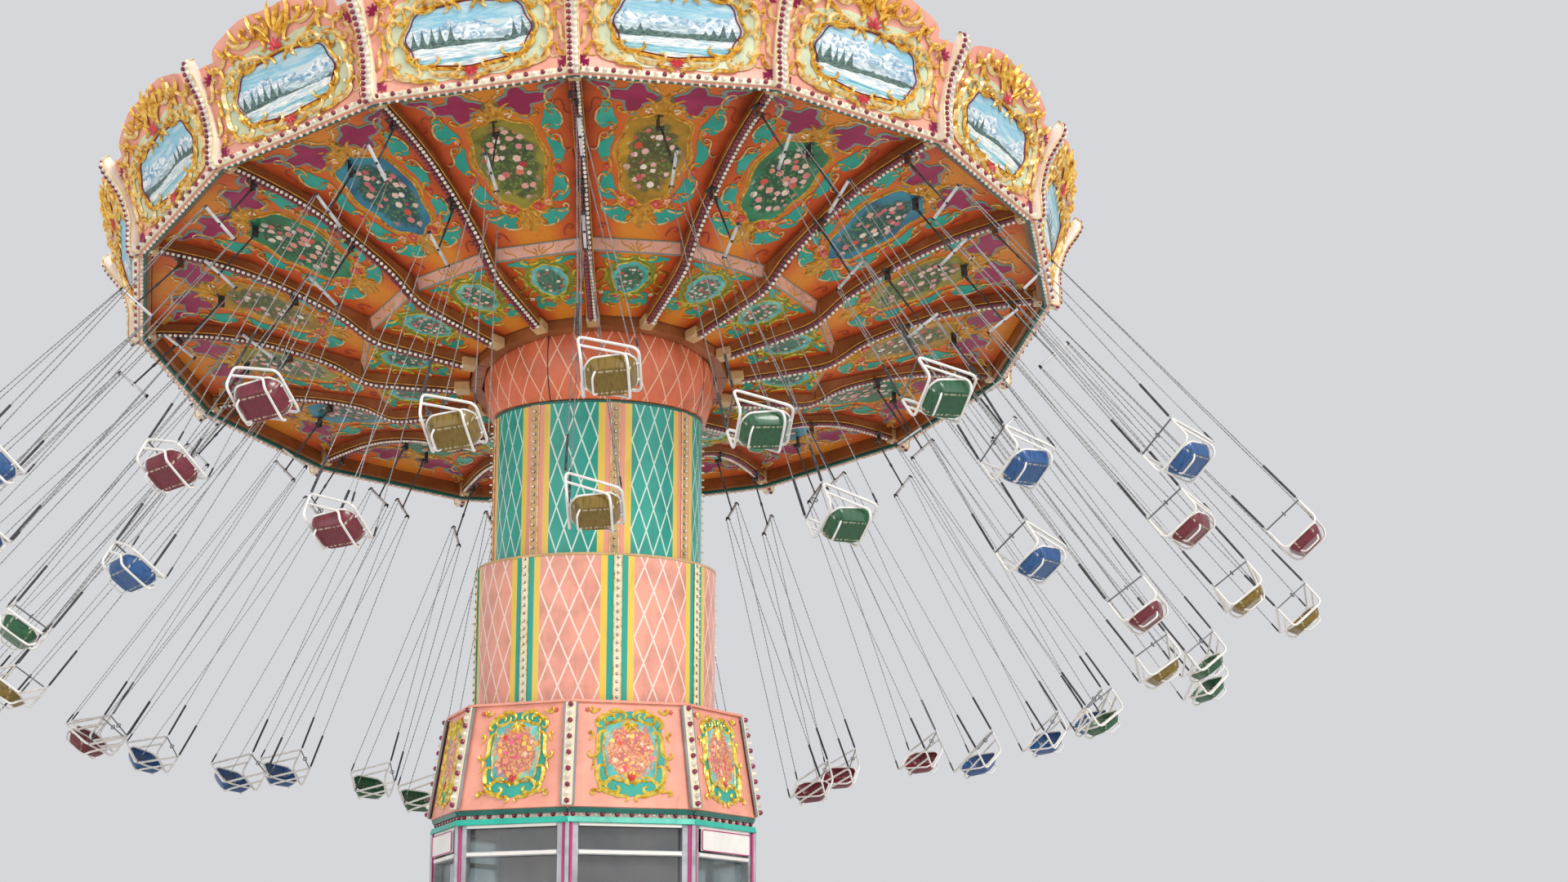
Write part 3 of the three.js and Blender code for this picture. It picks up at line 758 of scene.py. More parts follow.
@lru_cache(maxsize=None)
def unit_line(curl: Curl, steps: int) -> tuple[Pair, ...]:
    """An ornament's line of length 1, with its middle at the origin and running along X there.

    Args:
        curl: how the line turns.
        steps: the number of straight steps that it is made of.
    Returns:
        The points of the line.
    """
    heading, x, y = 0.0, 0.0, 0.0
    points, headings = [(x, y)], []
    for step in range(steps):
        heading += math.radians(curl.turning((step + 0.5) / steps)) / steps
        x += math.cos(heading) / steps
        y += math.sin(heading) / steps
        points.append((x, y))
        headings.append(heading)
    middle, turn = Vector(points[steps // 2]), Matrix.Rotation(-headings[steps // 2], 2)
    return tuple(tuple(turn @ (Vector(point) - middle)) for point in points)


@dataclass(frozen=True)
class Outline:
    """A closed outline with a waved edge, about its centre on a panel.

    Attributes:
        centre: its middle on the panel.
        half: half of its width and of its height.
        lobes: its waves, each by number, depth and shift.
        square: 2 for an ellipse, and more for squarer corners.
        taper: how much wider it grows upwards.
        turn: the angle that it is turned by.
    """

    centre: Pair
    half: Pair
    lobes: tuple[tuple[int, float, float], ...] = ()
    square: float = 2.0
    taper: float = 0.0
    turn: float = 0.0

    def point(self, angle: float, size: float = 1.0) -> Vector:
        """A point of the outline, or of a smaller one inside it.

        Args:
            angle: where, counted round the centre.
            size: the share of the way out from the centre.
        Returns:
            The point on the panel.
        """
        c, s = math.cos(angle), math.sin(angle)
        reach = (abs(c) ** self.square + abs(s) ** self.square) ** (-1 / self.square)
        reach *= 1 + sum(depth * math.cos(count * angle + shift) for count, depth, shift in self.lobes)
        across = size * reach * c * self.half[0] * (1 + self.taper * reach * s)
        spot = Matrix.Rotation(self.turn, 2) @ Vector((across, size * reach * s * self.half[1]))
        return Vector((self.centre[0] + spot.x, self.centre[1] + spot.y, 0.0))

    def loop(self, count: int, size: float = 1.0) -> list[Vector]:
        """Points evenly round the outline."""
        return [self.point(2 * math.pi * i / count, size) for i in range(count)]

    def mirrored(self) -> "Outline":
        """The same outline on the other side of the panel's middle."""
        lobes = tuple((count, depth, (math.pi * count - shift)) for count, depth, shift in self.lobes)
        centre = (-self.centre[0], self.centre[1])
        return Outline(centre, self.half, lobes, self.square, self.taper, -self.turn)


@dataclass(frozen=True)
class Facets:
    """The flat sides of a polygonal ring, onto which panel designs are laid.

    Attributes:
        sides: how many sides the ring has.
        phase: the azimuth of its first corner.
        profile: corner radius and height of the surface, from where a design's second coordinate starts.
        by_radius: the design's second coordinate is the flat's radius, and not the length along the profile.
    """

    sides: int
    phase: float
    profile: tuple[Pair, ...]
    by_radius: bool = False

    @property
    def flat(self) -> float:
        """How far the middle of a side is from the axis, as a share of the corner's distance."""
        return math.cos(math.pi / self.sides)

    def place(self, point: Vector) -> Vector:
        """Lays a point of a design onto the side at azimuth 0.

        Args:
            point: the point, across and along the side and off its surface.
        Returns:
            The point on the ring.
        """
        flat, rest = self.flat, point.y
        if self.by_radius:
            rest -= self.profile[0][0] * flat
        spans = [(r0 * flat, z0, r1 * flat, z1) for (r0, z0), (r1, z1) in pairwise(self.profile)]
        for number, (r0, z0, r1, z1) in enumerate(spans):
            length = math.hypot(r1 - r0, z1 - z0)
            measure = r1 - r0 if self.by_radius else length
            if rest <= measure or number == len(spans) - 1:
                break
            rest -= measure
        share = rest / measure
        normal = Vector((z1 - z0, r0 - r1)) / length
        radius = r0 + (r1 - r0) * share + normal.x * point.z
        return Vector((point.x, -radius, z0 + (z1 - z0) * share + normal.y * point.z))

    def half(self, s: float) -> float:
        """Half of a side's width at a point of its height."""
        return -self.place(Vector((0, s, 0))).y * math.tan(math.pi / self.sides)

    def turns(self, place: Matrix, offset: float = 0.5) -> list[Matrix]:
        """The places round the ring.

        Args:
            place: where the ring is.
            offset: 0.5 for the sides, or 0 for the corners.
        Returns:
            The places.
        """
        step = 2 * math.pi / self.sides
        angles = [self.phase + (i + offset) * step for i in range(self.sides)]
        return [place @ Matrix.Rotation(angle, 4, "Z") for angle in angles]


class Maker:
    """One piece in the making: shapes are added to it, each in its finish."""

    def __init__(self, name: str) -> None:
        """Starts an empty piece.

        Args:
            name: the piece's name.
        """
        self.name = name
        self.bm = bmesh.new()
        self.uv = self.bm.loops.layers.uv.new(PAINT_UV)
        self.finishes: list[Finish] = []

    def number(self, finish: Finish) -> int:
        """Counts the piece's finishes.

        Args:
            finish: the finish.
        Returns:
            Its number on this piece.
        """
        if finish not in self.finishes:
            self.finishes.append(finish)
        return self.finishes.index(finish)

    def take(self, mesh: bpy.types.Mesh, numbers: Sequence[int], places: Iterable[Matrix],
             variants: Sequence[int] | None = None) -> None:
        """Adds copies of a mesh.

        Args:
            mesh: the mesh, which is used up.
            numbers: this piece's finish for each of the mesh's material indices.
            places: where the copies go.
            variants: how far each copy's pictures are shifted, in variants.
        """
        count = len(mesh.polygons)
        index = np.empty(count, np.int32)
        mesh.polygons.foreach_get("material_index", index)
        mesh.polygons.foreach_set("material_index", np.array(numbers, np.int32)[index])
        for copy, place in enumerate(places):
            placed = mesh.copy()
            placed.transform(place)
            if variants is not None:
                data = placed.uv_layers[PAINT_UV].data
                uv = np.empty(2 * len(data), np.float32)
                data.foreach_get("uv", uv)
                uv[0::2] += VARIANT_STEP * variants[copy]
                data.foreach_set("uv", uv)
            self.bm.from_mesh(placed)
            bpy.data.meshes.remove(placed)
        bpy.data.meshes.remove(mesh)

    def add(self, shape: Shape, finish: Finish, *places: Matrix, crease: float = 38.0) -> None:
        """Adds one shape in one finish.

        Args:
            shape: the shape, which is used up.
            finish: its finish.
            *places: where copies of it go, if not just as it is.
            crease: edges that bend more than this stay sharp, in degrees.
        """
        for face in shape.faces:
            face.smooth = True
        for edge in shape.edges:
            edge.smooth = edge.calc_face_angle(0.0) < math.radians(crease)
        mesh = bpy.data.meshes.new("shape")
        shape.to_mesh(mesh)
        shape.free()
        mesh.polygons.foreach_set("material_index", np.zeros(len(mesh.polygons), np.int32))
        self.take(mesh, [self.number(finish)], places or (Matrix(),))

    def line(self, lines: "Lines", finish: Finish, flatten: float = 1.0, lift: float = 0.0) -> None:
        """Adds lines in one finish, flattened and lifted off the panel."""
        self.add(lines.shape(flatten, lift), finish, crease=LINE_CREASE)

    def copy(self, other: "Maker", places: Iterable[Matrix], variants: Sequence[int] | None = None) -> None:
        """Adds copies of another piece, with its finishes.

        Args:
            other: the other piece, which is kept.
            places: where the copies go.
            variants: how far each copy's pictures are shifted, in variants.
        """
        mesh = bpy.data.meshes.new("copy")
        other.bm.to_mesh(mesh)
        self.take(mesh, [self.number(finish) for finish in other.finishes], places, variants)

    def lay(self, facets: Facets) -> None:
        """Lays a flat design onto a side of a ring, and keeps its flat coordinates for its pictures.

        Args:
            facets: the ring's sides.
        """
        for face in self.bm.faces:
            for loop in face.loops:
                loop[self.uv].uv = loop.vert.co.xy
        for vert in self.bm.verts:
            vert.co = facets.place(vert.co)

    def finish(self, body: str, slot: str, *replaced: str) -> bpy.types.Object:
        """Makes the piece, dresses it and sets it on its body.

        Args:
            body: the body that the piece rides on.
            slot: the record's material slot; it is not used.
            *replaced: the nodes that it stands for.
        Returns:
            The finished piece.
        """
        mesh = bpy.data.meshes.new(self.name)
        self.bm.to_mesh(mesh)
        self.bm.free()
        for finish in self.finishes:
            mesh.materials.append(finish.material())
        piece = bpy.data.objects.new(self.name, mesh)
        bpy.context.scene.collection.objects.link(piece)
        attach(piece, body)
        if replaced:
            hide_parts(*replaced)
        LOG.info("%s: %d faces on %s", self.name, len(mesh.polygons), body)
        return piece


def outwards(shape: Shape) -> None:
    """Points all faces of a closed shape outwards."""
    bmesh.ops.recalc_face_normals(shape, faces=shape.faces[:])


def lathe(profile: Sequence[Pair], sides: int, phase: float = 0.0) -> Shape:
    """Spins a profile about Z.

    Args:
        profile: radius and height of each point, closed on itself unless both ends are on the axis.
        sides: the number of sides.
        phase: the azimuth of the first corner.
    Returns:
        The closed shape.
    """
    shape = bmesh.new()
    start = Matrix.Rotation(phase, 3, "Z")
    verts = [shape.verts.new(start @ Vector((0.0, -radius, height))) for radius, height in profile]
    pairs = list(pairwise(verts))
    if profile[0][0] > 0 or profile[-1][0] > 0:
        pairs.append((verts[-1], verts[0]))
    edges = [shape.edges.new(pair) for pair in pairs]
    bmesh.ops.spin(shape, geom=verts + edges, axis=(0, 0, 1), cent=(0, 0, 0), angle=2 * math.pi, steps=sides,
                   use_merge=True)
    bmesh.ops.remove_doubles(shape, verts=shape.verts[:], dist=1e-5)
    outwards(shape)
    return shape


def box(size: Sequence[float], centre: Sequence[float] = (0, 0, 0), bevel: float = 0.0) -> Shape:
    """A block with softened edges.

    Args:
        size: its three sizes.
        centre: where its middle lies.
        bevel: the width of its edge bevels.
    Returns:
        The closed shape.
    """
    shape = bmesh.new()
    place = Matrix.Translation(centre) @ Matrix.Diagonal((*size, 1.0))
    bmesh.ops.create_cube(shape, size=1.0, matrix=place)
    if bevel:
        bmesh.ops.bevel(shape, geom=shape.edges[:], offset=bevel, segments=1, affect="EDGES", profile=0.5,
                        material=-1)
    return shape


def plate(outline: Sequence[Sequence[float]], thickness: float, bevel: float = 0.0) -> Shape:
    """A flat plate in XY from its outline, as thick as said about Z = 0.

    Args:
        outline: the corners of its face.
        thickness: its thickness.
        bevel: the width of the bevel round both faces.
    Returns:
        The closed shape.
    """
    shape = bmesh.new()
    face = shape.faces.new([shape.verts.new((x, y, -thickness / 2)) for x, y in outline])
    grown = bmesh.ops.extrude_face_region(shape, geom=[face])["geom"]
    top = [part for part in grown if isinstance(part, bmesh.types.BMVert)]
    bmesh.ops.translate(shape, vec=(0, 0, thickness), verts=top)
    outwards(shape)
    if bevel:
        edges = [edge for edge in shape.edges if abs(edge.verts[0].co.z - edge.verts[1].co.z) < 1e-6]
        bmesh.ops.bevel(shape, geom=edges, offset=bevel, segments=2, affect="EDGES", profile=0.5, material=-1)
    return shape


def patch(outline: Outline, lift: float, thickness: float = 0.006, cells: int = 8) -> Shape:
    """A thin painted field of a panel design, cut to an outline.

    Args:
        outline: its edge.
        lift: how far its face stands off the panel.
        thickness: its thickness.
        cells: how many cells its grid has each way.
    Returns:
        The closed shape, in panel coordinates.
    """
    shape = bmesh.new()
    bmesh.ops.create_grid(shape, x_segments=cells, y_segments=cells, size=1.0)
    for vert in shape.verts:
        reach = max(abs(vert.co.x), abs(vert.co.y))
        vert.co = outline.point(math.atan2(vert.co.y, vert.co.x), reach) + Vector((0, 0, lift))
    bmesh.ops.solidify(shape, geom=shape.faces[:], thickness=thickness)
    outwards(shape)
    return shape


def chip(outline: Outline, lift: float, corners: int = 24, thickness: float = 0.005,
         bends: Sequence[float] = ()) -> Shape:
    """A small painted field of a panel design, as one flat sheet.

    Args:
        outline: its edge.
        lift: how far its face stands off the panel.
        corners: how many corners its edge has.
        thickness: its thickness.
        bends: how far along the panel it is scored, to follow the panel's own bends.
    Returns:
        The closed shape, in panel coordinates.
    """
    sheet = plate([outline.point(2 * math.pi * i / corners, 1.0).xy for i in range(corners)], thickness)
    bmesh.ops.translate(sheet, vec=(0, 0, lift - thickness / 2), verts=sheet.verts[:])
    for bend in bends:
        bmesh.ops.bisect_plane(sheet, geom=[*sheet.verts, *sheet.edges, *sheet.faces], plane_co=(0, bend, 0),
                               plane_no=(0, 1, 0))
    return sheet


class Lines:
    """Round lines of changing thickness that become one shape: scrolls, tubes and chains."""

    def __init__(self, resolution: int = 0) -> None:
        """Starts without a line.

        Args:
            resolution: 0 for four-sided lines, and more for rounder ones.
        """
        self.curve = bpy.data.curves.new("lines", "CURVE")
        self.curve.dimensions = "3D"
        self.curve.bevel_depth = 1.0
        self.curve.bevel_resolution = resolution
        self.curve.use_fill_caps = True

    def draw(self, points: Sequence[Vector], radii: Sequence[float] | float, closed: bool = False) -> None:
        """Adds a line.

        Args:
            points: the points that it runs through.
            radii: its radius at each point, or one for all.
            closed: the line runs back to its start.
        """
        spline = self.curve.splines.new("POLY")
        spline.points.add(len(points) - 1)
        spline.use_cyclic_u = closed
        each = [radii] * len(points) if isinstance(radii, float) else list(radii)
        for knot, point, radius in zip(spline.points, points, each):
            knot.co = (*point, 1.0)
            knot.radius = radius

    def shape(self, flatten: float = 1.0, lift: float = 0.0) -> Shape:
        """Makes one shape of closed tubes. A lifted line lies on a panel, so it is a ridge with a flat back.

        Args:
            flatten: the factor that flattens it along Z.
            lift: how far it is then lifted.
        Returns:
            The shape, after which nothing can be drawn.
        """
        carrier = bpy.data.objects.new("lines", self.curve)
        mesh = carrier.to_mesh()
        shape = bmesh.new()
        shape.from_mesh(mesh)
        carrier.to_mesh_clear()
        bpy.data.objects.remove(carrier)
        bpy.data.curves.remove(self.curve)
        bmesh.ops.remove_doubles(shape, verts=shape.verts[:], dist=1e-6)
        if lift:
            self.flat_back(shape)
        if flatten != 1.0 or lift:
            bmesh.ops.scale(shape, vec=(1, 1, flatten), verts=shape.verts[:])
            bmesh.ops.translate(shape, vec=(0, 0, lift), verts=shape.verts[:])
        outwards(shape)
        return shape

    @staticmethod
    def flat_back(shape: Shape) -> None:
        """Makes four-sided lines three-sided: the keel goes, and both flanks come down half way to it.

        Args:
            shape: the lines, which are changed.
        """
        keel = {vert for vert in shape.verts if vert.co.z < -1e-4}
        for vert in keel:
            for edge in vert.link_edges:
                flank = edge.other_vert(vert)
                if flank not in keel:
                    flank.co.z = 0.5 * vert.co.z
        edges = [edge for edge in shape.edges if keel.issuperset(edge.verts)]
        bmesh.ops.dissolve_edges(shape, edges=edges, use_verts=True)


def rounded(corners: Sequence[Sequence[float]], radius: float, steps: int = 4,
            closed: bool = False) -> list[Vector]:
    """A bent tube's centreline: straight runs with an arc at each corner.

    Args:
        corners: the corners of the run.
        radius: how far from a corner its arc begins.
        steps: the number of points on each arc, less one.
        closed: the run goes back to its start.
    Returns:
        The points of the line.
    """
    knots = [Vector(corner) for corner in corners]
    count = len(knots)
    line = [] if closed else [knots[0]]
    for i in range(count) if closed else range(1, count - 1):
        before, corner, after = knots[i - 1], knots[i], knots[(i + 1) % count]
        reach = min(radius, 0.45 * (corner - before).length, 0.45 * (after - corner).length)
        enter = corner + (before - corner).normalized() * reach
        leave = corner + (after - corner).normalized() * reach
        for step in range(steps + 1):
            t = step / steps
            line.append(enter * (1 - t) ** 2 + corner * (2 * t * (1 - t)) + leave * t ** 2)
    return line if closed else [*line, knots[-1]]


def flowing(knots: Sequence[Sequence[float]], steps: int = 6) -> list[Vector]:
    """A smooth line through its knots.

    Args:
        knots: the points that it passes through.
        steps: how many steps it takes from one knot to the next.
    Returns:
        The points of the line.
    """
    points = [Vector(knot) for knot in knots]
    ends = [2 * points[0] - points[1], *points, 2 * points[-1] - points[-2]]
    line = [points[0]]
    for a, b, c, d in zip(ends, ends[1:], ends[2:], ends[3:]):
        for step in range(1, steps + 1):
            t = step / steps
            line.append(0.5 * (2 * b + (c - a) * t + (2 * a - 5 * b + 4 * c - d) * t ** 2
                               + (3 * b - a - 3 * c + d) * t ** 3))
    return line


def straight(reach: float, y: float, z: float) -> list[Vector]:
    """A straight line from side to side, as far to the left as to the right."""
    return [Vector((-reach, y, z)), Vector((reach, y, z))]


def standing(point: Vector, normal: Vector) -> Matrix:
    """The place that stands a shape on a point, with its Z along the normal."""
    return Matrix.Translation(point) @ normal.to_track_quat("Z", "Y").to_matrix().to_4x4()


def bulb(radius: float, height: float, sides: int = 6) -> Shape:
    """A lamp cap that stands on Z = 0.

    Args:
        radius: its radius.
        height: its height.
        sides: how many sides it has.
    Returns:
        The closed shape.
    """
    return lathe([(0.0, -0.004), (radius, -0.004), (0.8 * radius, 0.72 * height), (0.0, height)], sides)


@dataclass(frozen=True)
class Carving:
    """Draws the scrolls and fans of a panel design.

    Attributes:
        steps: how many straight steps each line has.
        lines: what is drawn so far.
    """

    steps: int = 16
    lines: Lines = field(default_factory=Lines)

    def scroll(self, curl: Curl, at: Pair, aim: float, size: float, radius: float,
               hand: int = 1, both: bool = True) -> None:
        """Adds an ornament line.

        Args:
            curl: its form.
            at: where its middle lies on the panel.
            aim: the way it runs there, in degrees from across the panel.
            size: its length along the line.
            radius: its greatest radius.
            hand: -1 turns its curls the other way.
            both: its mirror image is drawn too.
        """
        turn = Matrix.Rotation(math.radians(aim), 2)
        points, radii = [], []
        for step, (x, y) in enumerate(unit_line(curl, self.steps)):
            spot = Vector(at) + turn @ Vector((x, hand * y)) * size
            points.append(Vector((spot.x, spot.y, 0.0)))
            radii.append(radius * curl.swell(step / self.steps))
        self.lines.draw(points, radii)
        if both:
            self.lines.draw([Vector((-p.x, p.y, p.z)) for p in points], radii)

    def scrolls(self, *rows: tuple) -> None:
        """Adds ornament lines with their mirror images, each told as scroll takes it."""
        for row in rows:
            self.scroll(*row)

    def onto(self, maker: Maker, finish: Finish, flatten: float, lift: float) -> None:
        """Adds what is drawn to a panel design."""
        maker.line(self.lines, finish, flatten, lift)

    def shell(self, at: Pair, aim: float, size: float, radius: float, blades: int = 5,
              spread: float = 110.0, both: bool = False) -> None:
        """Adds a fan of blades.

        Args:
            at: the foot of the fan.
            aim: the way that its middle blade points, in degrees.
            size: the length of its longest blade.
            radius: the greatest radius of a blade.
            blades: how many it has.
            spread: the angle between its outer blades.
            both: its mirror image is drawn too.
        """
        for blade in range(blades):
            share = blade / (blades - 1) - 0.5
            angle = math.radians(aim + share * spread)
            reach = size * (1 - 0.9 * share * share)
            middle = (at[0] + 0.55 * reach * math.cos(angle), at[1] + 0.55 * reach * math.sin(angle))
            self.scroll(Curl.LEAF, middle, math.degrees(angle), reach, radius, 1 if share > 0 else -1, both)


def flower(maker: Maker, at: Pair, size: float, lift: float, petals: Finish,
           eye: Finish) -> None:
    """Adds a five-petalled flower to a panel design.

    Args:
        maker: the design.
        at: its middle.
        size: its radius.
        lift: how far it stands off the panel.
        petals: the finish of its petals.
        eye: the finish of its middle.
    """
    maker.add(chip(Outline(at, (size, size), ((5, 0.22, 0.6),)), lift, 20), petals)
    maker.add(chip(Outline(at, (0.3 * size, 0.3 * size)), lift + 0.005, 8), eye)


def from_limit(joint: dict[str, object]) -> Matrix:
    """The turn of a joint from its lower limit to the rest state."""
    return Matrix.Rotation(-math.radians(joint["range_deg"][0]), 4, Vector(joint["axis"]))


@dataclass(frozen=True)
class CrownPlace:
    """Where the crown and its chairs are, all read from the frame's joints."""

    @property
    def pivot(self) -> Vector:
        """The middle of the ball head."""
        return Vector(JOINTS["crown_tilt"]["pos_m"])

    @property
    def lean(self) -> Matrix:
        """The turn from a level crown to the leaning one."""
        return from_limit(JOINTS["crown_tilt"])

    @property
    def matrix(self) -> Matrix:
        """Lays what is drawn about the pivot of a level crown into its leaning place."""
        return Matrix.Translation(self.pivot) @ self.lean

    def hinge(self, chair: str) -> tuple[Vector, Vector, float]:
        """A chair's hinge on the level crown.

        Args:
            chair: the chair's node.
        Returns:
            The hinge's point, axis and azimuth.
        """
        joint = JOINTS[f"{chair}_swing"]
        point = self.matrix.inverted() @ Vector(joint["pos_m"])
        axis = self.lean.inverted().to_3x3() @ Vector(joint["axis"])
        return point, axis, math.atan2(point.x, -point.y)

    def flight(self, chair: str) -> Matrix:
        """Lays a chair that hangs from a level crown into its flying place.

        Args:
            chair: the chair's node.
        Returns:
            The place, for what is drawn about its hinge.
        """
        joint = JOINTS[f"{chair}_swing"]
        return Matrix.Translation(joint["pos_m"]) @ from_limit(joint) @ self.lean


CROWN = CrownPlace()


def skin(maker: Maker, facets: Facets, marks: Sequence[float], thickness: float, finish: Finish,
         place: Matrix) -> None:
    """Adds a closed ring of flat boards, with the panel design's own coordinates for its paint.

    Args:
        maker: the piece.
        facets: the sides that the boards lie on.
        marks: the design's second coordinate at each bend of the boards.
        thickness: the thickness of the boards, behind their face.
        finish: their finish.
        place: where the ring goes.
    """
    spots = [(s, facets.place(Vector((0, s, 0)))) for s in marks]
    spots += [(s, facets.place(Vector((0, s, -thickness)))) for s in reversed(marks)]
    ring = lathe([(-spot.y / facets.flat, spot.z) for _, spot in spots], facets.sides, facets.phase)
    layer = ring.loops.layers.uv.new(PAINT_UV)
    step = 2 * math.pi / facets.sides
    for face in ring.faces:
        middle = face.calc_center_median()
        side = math.floor((math.atan2(middle.x, -middle.y) - facets.phase) / step)
        back = Matrix.Rotation(-(facets.phase + (side + 0.5) * step), 3, "Z")
        for loop in face.loops:
            spot = back @ loop.vert.co
            s = min(spots, key=lambda mark: math.hypot(mark[1].y - spot.y, mark[1].z - spot.z))[0]
            loop[layer].uv = (spot.x, s)
    maker.add(ring, finish, place, crease=9.0)


def radial(outline: Sequence[Sequence[float]], thickness: float, bevel: float = 0.0) -> Shape:
    """A plate that stands in the plane of azimuth 0.

    Args:
        outline: radius and height of its corners.
        thickness: its thickness.
        bevel: the width of the bevel round both faces.
    Returns:
        The closed shape.
    """
    shape = plate(outline, thickness, bevel)
    stand = Matrix(((0, 0, 1, 0), (-1, 0, 0, 0), (0, 1, 0, 0), (0, 0, 0, 1)))
    bmesh.ops.transform(shape, matrix=stand, verts=shape.verts[:])
    outwards(shape)
    return shape


def along(line: Sequence[Vector], pitch: float, start: float = 0.0) -> list[tuple[Vector, Vector]]:
    """Evenly spaced points on a line.

    Args:
        line: the points of the line.
        pitch: the distance between the spaced points.
        start: how far along the line the first one is.
    Returns:
        Each point with the way that the line runs there.
    """
    found, next_at, done = [], start, 0.0
    for a, b in pairwise(line):
        length = (b - a).length
        while next_at <= done + length:
            found.append((a.lerp(b, (next_at - done) / length), (b - a).normalized()))
            next_at += pitch
        done += length
    return found


def lamp_row(maker: Maker, line: Sequence[Vector], normal: Sequence[float], pitch: float,
             lamps: Sequence[Finish], radius: float = 0.024, height: float = 0.03,
             start: float | None = None) -> None:
    """Adds a row of lamp caps.

    Args:
        maker: the piece.
        line: the points of the row's line.
        normal: the way out of the surface, which is set square to the line at each lamp.
        pitch: the distance between lamps.
        lamps: the finishes that the lamps have in turn.
        radius: a cap's radius.
        height: a cap's height.
        start: how far along the line the first lamp is.
    """
    spots = along(line, pitch, pitch / 2 if start is None else start)
    for number, finish in enumerate(lamps):
        places = []
        for point, way in spots[number::len(lamps)]:
            out = Vector(normal)
            places.append(standing(point, (out - way * out.dot(way)).normalized()))
        if places:
            maker.add(bulb(radius, height), finish, *places, crease=60.0)


def above_rim(*points: Pair) -> tuple[Pair, ...]:
    """A section of the crown, as radius and height above its rim plane, carried to the pivot."""
    return tuple((r, z + RIM) for r, z in points)


CEILING = Facets(CROWN_SIDES, CROWN_PHASE, above_rim(
    (1.640, -0.745), (2.950, -0.590), (3.000, -0.430), (3.600, -0.215), (4.450, 0.085), (5.250, 0.200),
    (5.650, 0.205)), by_radius=True)
BOARD_KNOTS = ((5.800, 0.0), (5.803, 0.14), (5.820, 0.28), (5.880, 0.48), (5.960, 0.68), (6.064, 0.92),
               (6.180, 1.15), (6.330, 1.47))
BOARDS = Facets(CROWN_SIDES, CROWN_PHASE, above_rim(
    *((p.x, p.y) for p in flowing([(r, z, 0.0) for r, z in BOARD_KNOTS], 3))))
RISER = Facets(CROWN_SIDES, CROWN_PHASE, above_rim((2.950, -0.590), (3.000, -0.430)))
ROOF = Facets(CROWN_SIDES, CROWN_PHASE, above_rim(
    (0.640, 2.440), (0.700, 2.250), (2.600, 1.510), (5.710, 0.425)))
SKIRT = Facets(BOOTH_SIDES, BOOTH_PHASE, ((2.000, 4.067), (1.803, 5.283)))
RIB_UNDERSIDE = above_rim(
    (1.780, -0.890), (2.530, -0.795), (2.850, -0.745), (3.050, -0.650), (3.300, -0.480), (3.600, -0.340),
    (4.000, -0.190), (4.450, -0.060), (4.900, 0.020), (5.550, 0.075), (5.700, 0.040))
FIN_EDGE = above_rim(
    (5.785, 0.010), (5.900, -0.020), (5.930, 0.150), (5.945, 0.420), (6.060, 0.760), (6.260, 1.040),
    (6.300, 1.170), (6.230, 1.240))
RIM_PITCH = 0.0935  # the distance between the lamps along the crown's rim
OUT, UP, DOWN = (0, -1, 0), (0, 0, 1), (0, 0, -1)


